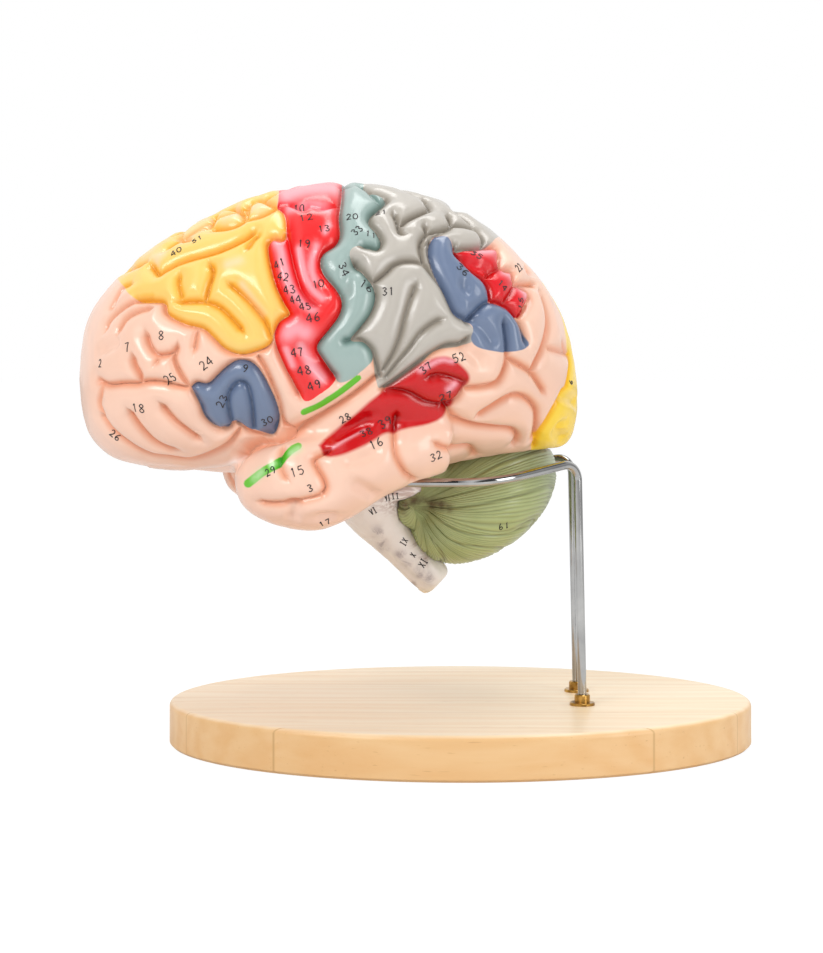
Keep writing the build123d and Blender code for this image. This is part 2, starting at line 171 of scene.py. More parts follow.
# Board: an oval of pale rubberwood, glued up from staves that run along it, turned over at its top
# edge and varnished. Its sides are a little darker than its top.
stave_width = 0.0475
wood, wood_tree, wood_shader = new_material("varnished_rubberwood")
wood_place = add(wood_tree, "TexCoord").outputs["Object"]
grain_map = add(wood_tree, "Mapping", wood_place, Scale=(3.0, 42.0, 42.0))
grain = add(wood_tree, "TexNoise", grain_map, Scale=2.0, Detail=7.0, Roughness=0.62, Distortion=0.35)
ring_map = add(wood_tree, "Mapping", wood_place, Scale=(0.9, 6.0, 9.0), Rotation=(0.0, 0.0, 0.06))
rings = add(wood_tree, "TexWave", ring_map, bands_direction="Y", Scale=4.0, Distortion=9.0, Detail=3.0,
            Detail_Scale=1.2)
pore_map = add(wood_tree, "Mapping", wood_place, Scale=(70.0, 900.0, 900.0))
pores = add(wood_tree, "TexNoise", pore_map, Scale=1.0, Detail=1.0, Roughness=0.5)
pore_cut = add(wood_tree, "MapRange", pores, From_Min=0.70, From_Max=0.80)
wood_split = add(wood_tree, "SeparateXYZ", wood_place).outputs
stave = add(wood_tree, "Math", wood_split["Y"], stave_width, operation="DIVIDE")
stave_number = add(wood_tree, "Math", stave, operation="FLOOR")
stave_tint = add(wood_tree, "TexWhiteNoise", noise_dimensions="1D", W=stave_number)
stave_seam = add(wood_tree, "Math", stave, 0.5, operation="PINGPONG")
seam_cut = add(wood_tree, "MapRange", stave_seam, From_Min=0.0, From_Max=0.010)
tone_sum = add(wood_tree, "Math", rings.outputs["Fac"], 0.28, grain, operation="MULTIPLY_ADD")
tone_more = add(wood_tree, "Math", stave_tint, 0.30, tone_sum, operation="MULTIPLY_ADD")
wood_tones = ramp(wood_tree, tone_more, (0.30, colour(244, 214, 172)), (1.05, colour(252, 234, 204)))
side_mask = soft_step(wood_tree, wood_split["Z"], From_Min=0.0253, From_Max=0.0232)
side_tone = mix(wood_tree, side_mask, wood_tones, colour(238, 214, 180), blend_type="MULTIPLY")
pore_share = add(wood_tree, "Math", pore_cut, 0.45, operation="MULTIPLY")
pore_tone = mix(wood_tree, pore_share, side_tone, colour(196, 146, 92))
seam_tone = mix(wood_tree, seam_cut, colour(205, 160, 105), pore_tone)
wood_bump = add(wood_tree, "Bump", Strength=0.08, Distance=0.0004, Height=grain)
plug(wood_shader, Base_Color=seam_tone, Normal=wood_bump, Roughness=0.42, Coat_Weight=0.25,
     Coat_Roughness=0.22)


def finish_node(name, material):
    """Gives a carried-over piece its finish."""
    nodes[name].data.materials.clear()
    nodes[name].data.materials.append(material)


finish_node("base_board", wood)

# Cradle: one length of 5 mm steel wire, bent cold and chromed. It shows faint draw marks, and the
# plating is a little cloudy.
chrome, chrome_tree, chrome_shader = new_material("chromed_wire")
chrome_place = add(chrome_tree, "TexCoord").outputs["Object"]
draw_marks = add(chrome_tree, "TexNoise", chrome_place, Scale=900.0, Detail=2.0)
mark_range = add(chrome_tree, "MapRange", draw_marks, To_Min=0.05, To_Max=0.11)
chrome_cloud = add(chrome_tree, "TexNoise", chrome_place, Scale=45.0, Detail=3.0)
chrome_tones = ramp(chrome_tree, chrome_cloud, (0.3, (0.36, 0.36, 0.36, 1)), (0.7, (0.54, 0.54, 0.53, 1)))
plug(chrome_shader, Base_Color=chrome_tones, Roughness=mark_range, Metallic=1.0)
finish_node("cradle_wire", chrome)


# Bushings: turned brass, with fine rings left by the tool, and zinc-plated washers and nuts below.
def turned_metal(name, dark, bright, ring_scale, roughness):
    material, tree, shader = new_material(name)
    place = add(tree, "TexCoord").outputs["Object"]
    cloud = add(tree, "TexNoise", place, Scale=220.0, Detail=4.0)
    tones = ramp(tree, cloud, (0.35, dark), (0.65, bright))
    tool_rings = add(tree, "TexWave", place, bands_direction="Z", Scale=ring_scale, Distortion=0.4)
    bump = add(tree, "Bump", Strength=0.25, Distance=0.0001, Height=tool_rings.outputs["Fac"])
    plug(shader, Base_Color=tones, Normal=bump, Metallic=1.0, Roughness=roughness)
    return material


brass = turned_metal("turned_brass", colour(150, 110, 50), colour(214, 172, 96), 900.0, 0.28)
zinc = turned_metal("zinc_plate", colour(150, 150, 148), colour(200, 200, 196), 500.0, 0.35)
for side in ("left", "right"):
    finish_node(f"bushing_{side}", brass)
    finish_node(f"washer_{side}", zinc)
    finish_node(f"nut_{side}", zinc)

# Pins: drawn steel rods, bright where they slide.
pin_steel = turned_metal("pin_steel", colour(160, 160, 160), colour(215, 215, 214), 260.0, 0.22)
for name in nodes:
    if "_pin_" in name:
        finish_node(name, pin_steel)

# Halves: two hollow-cast vinyl halves, mirror images, painted by area and lacquered. Each one is an
# egg-shaped dome with the temporal lobe standing out below it, cut flat at the middle.
brain_length = 0.289
brain_width = 0.206
brain_height = 0.167
brain_front_x = -0.216
brain_base_drop = 0.0005
brain_turn = math.radians(8)
half_gap = 0.0003
lift_gap = 0.0004
seat_z = 0.1585
loop_middle_x = -0.005
brain_place = (Matrix.Translation((loop_middle_x, 0, seat_z)) @ Matrix.Rotation(brain_turn, 4, "Z")
               @ Matrix.Translation((brain_front_x, 0, -brain_base_drop)))
inside = brain_place.inverted()

# Share of the length, crown and floor as shares of the height, share of the half width
dome_sections = [
    (0.014, 0.51, 0.17, 0.33), (0.045, 0.61, 0.09, 0.52), (0.09, 0.70, 0.05, 0.66),
    (0.165, 0.80, 0.03, 0.79), (0.26, 0.89, 0.02, 0.87), (0.38, 0.97, 0.0, 0.95),
    (0.52, 1.0, -0.02, 1.0), (0.66, 0.965, 0.01, 1.0), (0.76, 0.895, 0.05, 0.94),
    (0.845, 0.79, 0.065, 0.82), (0.915, 0.665, 0.07, 0.64), (0.96, 0.55, 0.08, 0.45),
    (0.986, 0.42, 0.13, 0.27),
]
# Share of the length, side and height of the middle, then half width and half height
lobe_sections = [
    (0.305, 0.60, 0.01, 0.15, 0.07), (0.325, 0.62, 0.01, 0.20, 0.11), (0.37, 0.65, 0.015, 0.27, 0.155),
    (0.44, 0.67, 0.01, 0.30, 0.17), (0.50, 0.68, 0.04, 0.30, 0.17), (0.565, 0.68, 0.08, 0.28, 0.14),
    (0.63, 0.67, 0.11, 0.26, 0.12), (0.70, 0.64, 0.14, 0.24, 0.11),
]


def smooth_path(points, spacing):
    """Points at about this spacing on a smooth curve through the given ones."""
    given = np.array(points, float)
    given = np.vstack([2 * given[0] - given[1], given, 2 * given[-1] - given[-2]])
    found = []
    for a, b, c, d in zip(given, given[1:], given[2:], given[3:]):
        count = max(1, int(np.ceil(np.linalg.norm(c - b) / spacing)))
        for t in np.arange(count) / count:
            found.append(0.5 * (2 * b + (c - a) * t + (2 * a - 5 * b + 4 * c - d) * t ** 2
                                + (3 * b - a - 3 * c + d) * t ** 3))
    found.append(given[-2])
    return np.array(found)


def oval_loft(name, ovals):
    """A closed body drawn out oval by oval. An oval is the place of its middle, its half width
    across and its half height."""
    bpy.ops.object.select_all(action="DESELECT")
    x, y, z, wide, high = ovals[0]
    bpy.ops.mesh.primitive_circle_add(vertices=96, radius=1.0, rotation=(0, math.pi / 2, 0))
    body = bpy.context.object
    body.name = name
    bpy.ops.object.transform_apply()
    bpy.ops.object.mode_set(mode="EDIT")
    bpy.ops.mesh.select_all(action="SELECT")
    bpy.ops.transform.resize(value=(1, wide, high), center_override=(0, 0, 0))
    bpy.ops.transform.translate(value=(x, y, z))
    bpy.ops.mesh.edge_face_add()
    bpy.ops.mesh.select_mode(type="EDGE")
    for before, after in zip(ovals, ovals[1:]):
        step = tuple(b - a for a, b in zip(before[:3], after[:3]))
        bpy.ops.mesh.extrude_region_move(TRANSFORM_OT_translate={"value": step})
        bpy.ops.transform.resize(value=(1, after[3] / before[3], after[4] / before[4]),
                                 center_override=after[:3])
    bpy.ops.mesh.select_all(action="SELECT")
    bpy.ops.mesh.normals_make_consistent(inside=False)
    bpy.ops.object.mode_set(mode="OBJECT")
    return body


def only(piece):
    """Selects this piece alone and makes it the active one."""
    bpy.ops.object.select_all(action="DESELECT")
    piece.select_set(True)
    bpy.context.view_layer.objects.active = piece


def apply_modifier(piece, kind, **settings):
    """Adds a modifier and applies it."""
    only(piece)
    modifier = piece.modifiers.new(kind.lower(), kind)
    for name, value in settings.items():
        setattr(modifier, name, value)
    bpy.ops.object.modifier_apply(modifier=modifier.name)


dome_ovals = []
for along, crown, low, side in dome_sections:
    w = side * brain_width / 2
    dome_ovals.append((along * brain_length, -0.25 * w, (crown + low) / 2 * brain_height,
                       0.75 * w, (crown - low) / 2 * brain_height))
tip_share = 0.02
front = dome_ovals[0]
back = dome_ovals[-1]
front_tip = (0.0, -0.003, 0.33 * brain_height, front[3] * tip_share, front[4] * tip_share)
back_tip = (brain_length, -0.003, 0.27 * brain_height, back[3] * tip_share, back[4] * tip_share)
dome_ovals = smooth_path([front_tip] + dome_ovals + [back_tip], 0.006)
nose_step = 0.0004
dome_ovals[:, 3:] = np.maximum(dome_ovals[:, 3:], nose_step)
dome = oval_loft("dome", [tuple(map(float, oval)) for oval in dome_ovals])
bpy.ops.object.mode_set(mode="EDIT")
bpy.ops.mesh.select_all(action="SELECT")
bpy.ops.mesh.bisect(plane_co=(0, -half_gap / 2, 0), plane_no=(0, 1, 0), use_fill=True, clear_outer=True)
bpy.ops.object.mode_set(mode="OBJECT")

lobe_ovals = [(along * brain_length, -side * brain_width / 2, height * brain_height,
               wide * brain_width / 2, high * brain_height)
              for along, side, height, wide, high in lobe_sections]
lobe_tip = (0.293 * brain_length, -0.59 * brain_width / 2, 0.015 * brain_height, nose_step, nose_step)
lobe_ovals = smooth_path([lobe_tip] + lobe_ovals, 0.005)
lobe = oval_loft("lobe", [tuple(map(float, oval)) for oval in lobe_ovals])
apply_modifier(dome, "BOOLEAN", operation="UNION", object=lobe, solver="EXACT")

# Room below for the cradle's loop, turned both ways so that the halves are mirror images, and a
# hollow behind it for the cerebellum, long enough to let it be pulled back off its pins.
wire_margin = 0.0085
room_depth = 0.060
loop_front = -0.080 - wire_margin - loop_middle_x
loop_back = 0.070 + wire_margin - loop_middle_x
loop_shoulder = 0.018 - loop_middle_x
loop_half = 0.060 + wire_margin
loop_back_half = 0.023 + 3 * wire_margin
front_corner = 0.058
shoulder_bend = 0.020
cerebellum_half = Vector((0.050, 0.044, 0.033))
cerebellum_tilt = math.radians(35)
cerebellum_middle = Vector((0.017, 0.0, -0.0155))
nest_gap = 0.001
pull_back = 0.008


def loop_room(turn):
    """The loop's outline with a margin, standing below the seat."""
    bpy.ops.object.select_all(action="DESELECT")
    bpy.ops.mesh.primitive_plane_add(size=1.0)
    room = bpy.context.object
    corners = [(loop_front, -loop_half), (loop_shoulder, -loop_half), (loop_back, -loop_back_half),
               (loop_back, loop_back_half), (loop_shoulder, loop_half), (loop_front, loop_half)]
    radii = [front_corner, shoulder_bend, 0.0, 0.0, shoulder_bend, front_corner]
    outline = []
    for i, (corner, radius) in enumerate(zip(corners, radii)):
        here = Vector(corner)
        back_way = (Vector(corners[i - 1]) - here).normalized()
        on_way = (Vector(corners[(i + 1) % len(corners)]) - here).normalized()
        half_turn = back_way.angle(on_way) / 2
        start = here + back_way * radius / math.tan(half_turn)
        end = here + on_way * radius / math.tan(half_turn)
        for t in ((0.0,) if radius == 0 else np.linspace(0, 1, 12)):
            outline.append(start * (1 - t) ** 2 + here * 2 * t * (1 - t) + end * t ** 2)
    mesh = bpy.data.meshes.new("loop_room")
    mesh.from_pydata([(p.x, p.y, 0.0) for p in outline], [], [list(range(len(outline)))])
    room.data = mesh
    bpy.ops.object.mode_set(mode="EDIT")
    bpy.ops.mesh.select_all(action="SELECT")
    bpy.ops.mesh.extrude_region_move(TRANSFORM_OT_translate={"value": (0, 0, -room_depth)})
    bpy.ops.mesh.select_all(action="SELECT")
    bpy.ops.mesh.normals_make_consistent(inside=False)
    bpy.ops.object.mode_set(mode="OBJECT")
    room.data.transform(Matrix.Translation((-brain_front_x, 0, brain_base_drop))
                        @ Matrix.Rotation(turn, 4, "Z"))
    return room


def cerebellum_room(back_by):
    """The cerebellum's hollow, moved back by this much."""
    bpy.ops.object.select_all(action="DESELECT")
    bpy.ops.mesh.primitive_uv_sphere_add(segments=96, ring_count=48, radius=1.0)
    room = bpy.context.object
    size = [half + nest_gap for half in cerebellum_half]
    place = (Matrix.Translation((back_by - brain_front_x, 0, brain_base_drop))
             @ Matrix.Translation(cerebellum_middle) @ Matrix.Rotation(-cerebellum_tilt, 4, "Y"))
    room.data.transform(place @ Matrix.Diagonal((*size, 1.0)))
    return room


rooms = [loop_room(-brain_turn), loop_room(brain_turn), cerebellum_room(0.0), cerebellum_room(pull_back)]
for room in rooms:
    apply_modifier(dome, "BOOLEAN", operation="DIFFERENCE", object=room, solver="EXACT")
for spare in rooms + [lobe]:
    bpy.data.objects.remove(spare)
coarse_grain = 0.0028
apply_modifier(dome, "REMESH", mode="VOXEL", voxel_size=coarse_grain)
apply_modifier(dome, "SMOOTH", factor=0.5, iterations=7)
apply_modifier(dome, "SUBSURF", levels=1, render_levels=1)

# Furrows of the half, as pixels of the photograph. Deep ones are the creases between the folds of
# the cortex, soft ones the dimples on a fold, and each ends softly where it meets no other.
deep_furrows = {
    "lateral_front": [(285, 436), (300, 430), (316, 422), (334, 411), (357, 395), (376, 379)],
    "lateral_back": [(383, 391), (396, 382), (413, 369), (430, 356), (446, 347), (463, 344), (472, 335)],
    "insular": [(236, 462), (246, 450), (260, 443), (272, 440), (285, 436)],
    "central": [(342, 183), (341, 197), (339, 213), (340, 230), (336, 241), (323, 251), (320, 262),
                (325, 275),
                (338, 291), (342, 304), (339, 316), (330, 329), (319, 343), (317, 351), (322, 361),
                (330, 374),
                (338, 384)],
    "precentral_top": [(276, 204), (284, 212), (286, 226), (288, 238), (291, 256), (297, 279), (303, 294),
                       (311, 304), (320, 307)],
    "precentral_low": [(289, 314), (279, 322), (274, 333), (275, 345), (280, 359), (290, 380), (302, 403)],
    "frontal_upright": [(286, 232), (281, 238), (272, 237), (267, 243), (268, 256), (274, 281), (282, 300),
                        (289, 314)],
    "postcentral_top": [(362, 186), (370, 191), (380, 194), (387, 198), (380, 205), (371, 213), (370, 220),
                        (378, 230), (382, 240), (378, 247), (368, 245), (358, 246)],
    "postcentral": [(350, 256), (363, 271), (373, 284), (376, 298), (371, 314), (361, 328), (352, 340)],
    "postcentral_low": [(346, 342), (356, 340), (364, 343), (372, 351), (376, 363), (380, 378)],
    "parietal_arch": [(370, 285), (385, 273), (396, 263), (410, 260), (424, 263), (433, 273), (443, 286),
                      (451, 303), (457, 314), (468, 321)],
    "parietal_middle": [(418, 281), (411, 299), (405, 319), (400, 338), (393, 355), (383, 372)],
    "parietal_low": [(446, 318), (433, 324), (421, 334), (410, 349), (396, 366), (386, 379)],
    "angular": [(431, 239), (430, 253), (435, 270), (443, 286)],
    "angular_red": [(456, 244), (459, 252), (473, 268), (485, 278), (491, 288), (493, 301)],
    "angular_low": [(470, 320), (482, 307), (493, 301), (509, 306), (521, 320), (526, 334), (528, 347)],
    "angular_split": [(506, 317), (508, 335), (509, 353), (507, 368), (498, 384), (480, 389), (467, 390)],
    "red_first": [(488, 277), (495, 271), (503, 267)],
    "red_second": [(505, 304), (511, 295), (517, 284)],
    "red_back": [(459, 247), (473, 247), (487, 246), (497, 247), (502, 256), (503, 267), (514, 271),
                 (517, 283),
                 (528, 290), (531, 301), (522, 317)],
    "occipital_top": [(517, 284), (536, 284)],
    "occipital_side": [(540, 290), (547, 309), (549, 329), (544, 349), (536, 367), (533, 374)],
    "occipital_cross": [(549, 349), (569, 355)],
    "occipital_rim": [(563, 346), (570, 363), (566, 389), (559, 401), (550, 417), (538, 435), (533, 449)],
    "occipital_low": [(475, 420), (492, 409), (512, 398), (526, 399), (537, 410), (538, 423), (535, 440)],
    "occipital_fork": [(509, 359), (524, 367), (534, 374), (541, 384), (548, 396)],
    "temporal_middle": [(444, 406), (456, 420), (472, 427), (492, 430), (511, 432), (518, 439), (514, 448)],
    "temporal_under": [(432, 441), (447, 449), (468, 448), (475, 457)],
    "temporal_cross": [(397, 412), (394, 432), (395, 449), (399, 462), (406, 475), (415, 482)],
    "temporal_inner": [(383, 391), (399, 392), (412, 396), (427, 404), (444, 406), (457, 400), (465, 386)],
    "temporal_upper": [(424, 380), (438, 376), (453, 379), (466, 384)],
    "temporal_pole": [(332, 449), (321, 453), (314, 459), (318, 470), (323, 479), (326, 489), (323, 495)],
    "temporal_notch": [(284, 444), (281, 456), (280, 466), (284, 476), (290, 483)],
    "temporal_low": [(256, 503), (268, 505), (281, 505), (297, 503), (314, 499), (323, 495)],
    "frontal_edge": [(135, 300), (160, 301), (165, 313), (182, 323), (202, 329), (212, 338), (224, 350),
                     (239, 356), (255, 353), (270, 345), (278, 324)],
    "frontal_low": [(226, 281), (240, 293), (254, 308), (265, 323), (271, 338)],
    "frontal_middle": [(174, 302), (190, 301), (206, 302), (220, 308), (234, 322), (245, 335)],
    "frontal_short": [(208, 261), (212, 271), (208, 287), (204, 302)],
    "frontal_upper_dent": [(180, 272), (178, 284), (181, 297)],
    "frontal_top": [(149, 263), (157, 273), (165, 269), (181, 261), (208, 253), (220, 249), (242, 239),
                    (252, 232)],
    "frontal_back_dent": [(244, 253), (252, 241), (257, 236)],
    "frontal_crown": [(140, 256), (153, 247), (169, 239), (188, 228), (200, 222)],
    "frontal_crown_low": [(176, 243), (190, 234), (209, 226)],
    "crown_bump": [(209, 226), (216, 213), (228, 208), (241, 211), (242, 220), (230, 226), (213, 228)],
    "crown_bump_back": [(244, 217), (248, 204), (260, 199), (272, 203), (274, 207), (261, 214), (247, 218)],
    "precentral_crown": [(277, 204), (289, 204), (302, 209), (309, 206), (322, 208), (336, 205)],
    "crown_sensory": [(365, 188), (376, 199), (382, 204)],
    "parietal_crown": [(393, 209), (398, 220), (401, 231), (408, 233)],
    "parietal_lump": [(402, 223), (408, 218), (423, 211), (430, 207), (424, 198)],
    "parietal_loop": [(425, 221), (428, 231), (436, 230), (446, 228), (452, 224), (449, 213)],
    "parietal_rim": [(452, 224), (463, 225), (477, 230), (485, 240), (484, 246)],
    "parietal_notch": [(428, 231), (421, 243), (424, 263)],
    "parietal_notch_back": [(423, 247), (430, 240), (437, 235), (449, 229)],
    "opercular_rim": [(190, 390), (196, 385), (207, 386), (216, 378), (225, 369), (236, 362), (248, 363),
                      (258, 371), (267, 387), (275, 405), (279, 421), (274, 434)],
    "opercular_low": [(190, 390), (200, 407), (205, 420), (218, 432), (229, 430), (236, 426), (247, 433),
                      (262, 437), (274, 434)],
    "opercular_fold": [(232, 428), (228, 407), (229, 395), (235, 386), (242, 384), (248, 390), (252, 408),
                       (254, 430)],
    "opercular_strip": [(258, 358), (267, 375), (278, 403), (283, 424), (292, 431), (300, 430)],
    "language_dent": [(197, 331), (195, 343), (193, 356)],
    "orbital_top": [(144, 330), (147, 344), (155, 355), (167, 355), (175, 350), (177, 342)],
    "orbital_hook": [(175, 350), (173, 360), (178, 373), (188, 389)],
    "orbital_stub": [(152, 368), (156, 361), (156, 355)],
    "orbital_middle": [(97, 382), (107, 386), (120, 385), (135, 385), (146, 383), (161, 384), (177, 388),
                       (190, 390)],
    "orbital_rise": [(130, 353), (133, 366), (138, 376), (139, 384)],
    "orbital_low": [(126, 410), (139, 429), (153, 443), (169, 451), (180, 453)],
    "orbital_side": [(158, 404), (173, 421), (187, 433), (202, 444)],
    "orbital_rim": [(102, 418), (112, 432), (130, 446), (150, 456), (170, 459), (190, 462), (209, 457),
                    (228, 447), (240, 432)],
    "pole_edge": [(104, 334), (110, 320), (123, 308), (137, 300), (150, 298)],
    "pole_ridge": [(116, 336), (125, 320), (137, 312), (154, 307)],
    "pole_fold": [(100, 382), (101, 392), (99, 404), (103, 416)],
    "pole_crease": [(112, 308), (122, 289), (134, 284)],
}
soft_furrows = {
    "angular_dent": [(465, 279), (467, 290), (473, 293)],
    "angular_low_dent": [(473, 321), (483, 329), (491, 339), (497, 348)],
    "red_dent": [(461, 253), (476, 263), (489, 269)],
    "temporal_red_dent": [(330, 440), (350, 430), (372, 416)],
    "temporal_gap": [(343, 463), (360, 460), (373, 453), (380, 445)],
    "temporal_dent": [(351, 482), (363, 489), (377, 497)],
    "temporal_stub": [(293, 506), (293, 522)],
    "temporal_edge_dent": [(313, 518), (339, 516)],
    "pole_dent": [(100, 352), (112, 345), (121, 343)],
    "sensory_dent": [(357, 262), (347, 275), (345, 290)],
    "precentral_dent": [(312, 243), (310, 255), (313, 273), (319, 289), (329, 304)],
    "lips_dent": [(297, 342), (303, 352), (317, 364), (333, 380)],
    "occipital_dent": [(564, 424), (557, 430), (563, 441)],
    "occipital_yellow": [(563, 396), (575, 402), (577, 417)],
    "temporal_back_dent": [(467, 349), (479, 361), (486, 365)],
}
deeper = {"lateral_front": 1.25, "insular": 1.35, "temporal_cross": 0.7, "pole_fold": 0.5,
          "pole_crease": 0.5,
          "occipital_cross": 0.5, "temporal_low": 0.7, "parietal_low": 0.7, "temporal_under": 0.7,
          "frontal_crown": 0.6, "frontal_crown_low": 0.6, "orbital_stub": 0.6, "occipital_rim": 0.55,
          "precentral_crown": 0.6, "frontal_upper_dent": 0.7, "frontal_back_dent": 0.6,
          "language_dent": 0.7,
          "temporal_upper": 0.6, "crown_sensory": 0.6, "opercular_fold": 0.75, "parietal_middle": 0.75,
          "red_first": 0.7, "red_second": 0.7, "pole_ridge": 0.6, "temporal_notch": 0.5,
          "pole_edge": 0.7, "temporal_inner": 0.7,
          "orbital_rim": 0.8, "parietal_notch_back": 0.6, "precentral_top": 0.75}
# Over the crown, out of the photograph's sight: share of the length and share of the half width
crown_furrows = {
    "crown_pole": [(0.09, 0.10), (0.10, 0.25), (0.13, 0.40)],
    "crown_front": [(0.20, 0.05), (0.21, 0.20), (0.19, 0.35), (0.21, 0.50)],
    "crown_superior": [(0.16, 0.42), (0.24, 0.38), (0.31, 0.42), (0.38, 0.37)],
    "crown_precentral": [(0.36, 0.05), (0.39, 0.18), (0.41, 0.32)],
    "crown_central": [(0.50, 0.04), (0.53, 0.18), (0.51, 0.32), (0.52, 0.46)],
    "crown_postcentral": [(0.62, 0.05), (0.60, 0.20), (0.63, 0.34), (0.66, 0.46)],
    "crown_parietal": [(0.72, 0.12), (0.74, 0.26), (0.73, 0.42), (0.76, 0.55)],
    "crown_occipital": [(0.84, 0.06), (0.85, 0.22), (0.88, 0.36), (0.87, 0.52)],
}
ridge_path = [(150, 466), (170, 468), (190, 468), (215, 465), (243, 461)]

eye_inside = inside @ eye
turn_inside = inside.to_3x3()


def sight(u, v):
    """The line of sight through a pixel, in the half's own frame."""
    ray = Vector(((u - sight_px[0]) / focal_px, 1.0, (sight_px[1] - v) / focal_px))
    return (turn_inside @ ray).normalized()


def seen_points(shape, pixels):
    """Where the lines of sight through these pixels meet the shape."""
    hits = [shape.ray_cast(eye_inside, sight(u, v))[0] for u, v in pixels]
    return np.array([tuple(hit) for hit in hits if hit is not None])


def mesh_points(mesh, field="co"):
    """The places or the normals of a mesh's points, as an array."""
    values = np.zeros(len(mesh.vertices) * 3)
    mesh.vertices.foreach_get(field, values)
    return values.reshape(-1, 3)


def moved(places, matrix):
    """Places carried through a matrix."""
    rows = np.array(matrix)
    return places @ rows[:3, :3].T + rows[:3, 3]


def near_path(points, path, reach):
    """Which points lie within reach of the path, how far off and how far along it, and its length."""
    low, high = path.min(0) - reach, path.max(0) + reach
    close = np.where(((points > low) & (points < high)).all(1))[0]
    some = points[close]
    best = np.full(len(close), 9.0)
    along = np.zeros(len(close))
    steps = np.linalg.norm(np.diff(path, axis=0), axis=1)
    starts = np.concatenate([[0.0], np.cumsum(steps)])
    for a, b, start, step in zip(path, path[1:], starts, steps):
        if step < 1e-9:
            continue
        t = np.clip((some - a) @ (b - a) / step ** 2, 0, 1)
        foot = a + t[:, None] * (b - a)
        off = np.linalg.norm(some - foot, axis=1)
        nearer = off < best
        best[nearer] = off[nearer]
        along[nearer] = (start + t * step)[nearer]
    inside_reach = best < reach
    return close[inside_reach], best[inside_reach], along[inside_reach], starts[-1]


smooth_shape = BVHTree.FromObject(dome, bpy.context.evaluated_depsgraph_get())
furrow_depth = 0.0060
furrow_reach = 0.0090
crease_round = 0.0005
dent_depth = 0.0032
dent_reach = 0.0062
end_fade = 0.006
join_px = 7.0
path_px = 1.6

pixel_paths = {name: smooth_path(path, path_px) for name, path in {**deep_furrows, **soft_furrows}.items()}
paths = {}
for name, pixels in pixel_paths.items():
    others = np.vstack([path for other, path in pixel_paths.items()
                        if other != name and other in deep_furrows])
    joined = [np.linalg.norm(others - pixels[end], axis=1).min() < join_px for end in (0, -1)]
    paths[name] = (seen_points(smooth_shape, pixels), joined)
for name, spots in crown_furrows.items():
    from_above = [(along * brain_length, -side * brain_width / 2) for along, side in spots]
    tops = [smooth_shape.ray_cast(Vector((x, y, 1.0)), Vector((0, 0, -1)))[0]
            for x, y in smooth_path(from_above, 0.002)]
    paths[name] = (np.array([tuple(top) for top in tops if top is not None]), [False, False])

# The mesh is made twice as fine along the creases
fine_zone = 0.0014
points = mesh_points(dome.data)
near_crease = np.zeros(len(points), bool)
for name, (path, joined) in paths.items():
    if name not in soft_furrows:
        near_crease[near_path(points, path, fine_zone)[0]] = True
only(dome)
bpy.ops.object.mode_set(mode="EDIT")
bpy.ops.mesh.select_mode(type="FACE")
bpy.ops.mesh.select_all(action="DESELECT")
bpy.ops.object.mode_set(mode="OBJECT")
dome.data.polygons.foreach_set("select", [bool(near_crease[list(face.vertices)].any())
                                          for face in dome.data.polygons])
bpy.ops.object.mode_set(mode="EDIT")
bpy.ops.mesh.subdivide(number_cuts=1)
bpy.ops.object.mode_set(mode="OBJECT")
points = mesh_points(dome.data)
normals = mesh_points(dome.data, "normal")

drop = np.zeros(len(points))
crease_off = np.full(len(points), 0.02)
for name, (path, joined) in paths.items():
    soft = name in soft_furrows
    reach = dent_reach if soft else furrow_reach * (1.3 if name in ("lateral_front", "insular") else 1.0)
    depth = dent_depth if soft else furrow_depth * deeper.get(name, 1.0)
    ids, off, along, length = near_path(points, path, reach)
    fade = np.ones(len(ids))
    if not joined[0]:
        fade *= np.clip(0.35 + along / end_fade, 0, 1)
    if not joined[1]:
        fade *= np.clip(0.35 + (length - along) / end_fade, 0, 1)
    if soft:
        nearness = 1 - off / reach
        drop[ids] += depth * fade * nearness ** 2 * (3 - 2 * nearness)
    else:
        rounded = np.sqrt(off ** 2 + crease_round ** 2) - crease_round
        nearness = 1 - rounded / reach
        drop[ids] = np.maximum(drop[ids], depth * fade * (1 - np.sqrt(1 - nearness ** 2)))
        crease_off[ids] = np.minimum(crease_off[ids], off + 0.004 * (1 - fade))

# Folds where the photograph can't see: elongated cells spread over the surface, with creases between
rng = np.random.default_rng(11)
view_off = normals @ np.array(turn_inside @ Vector((0, 1, 0)))
hidden = np.clip((view_off + 0.16) / 0.22, 0, 1)
cell_middles = points[rng.choice(len(points), 420, replace=False)]
kept = []
for middle in cell_middles:
    if all(np.linalg.norm(middle - other) > 0.019 for other in kept):
        kept.append(middle)
cell_turns = rng.normal(size=(len(kept), 3))
cell_turns /= np.linalg.norm(cell_turns, axis=1)[:, None]
cell_ends = np.stack([np.array(kept) + 0.008 * cell_turns, np.array(kept) - 0.008 * cell_turns], axis=1)
far_hidden = np.where(hidden > 0)[0]
spread_off = np.linalg.norm(points[far_hidden, None, None, :] - cell_ends[None], axis=3).min(2)
nearest_two = np.partition(spread_off, 1, axis=1)[:, :2]
cell_off = (nearest_two[:, 1] - nearest_two[:, 0]) / 2
free = np.clip((crease_off[far_hidden] - 0.005) / 0.005, 0, 1) * hidden[far_hidden]
cell_off = np.sqrt(cell_off ** 2 + crease_round ** 2) - crease_round
nearness = np.clip(1 - cell_off / furrow_reach, 0, 1)
drop[far_hidden] = np.maximum(drop[far_hidden], free * furrow_depth * 0.8 * (1 - np.sqrt(1 - nearness ** 2)))
crease_off[far_hidden] = np.minimum(crease_off[far_hidden], cell_off + 0.02 * (1 - free))

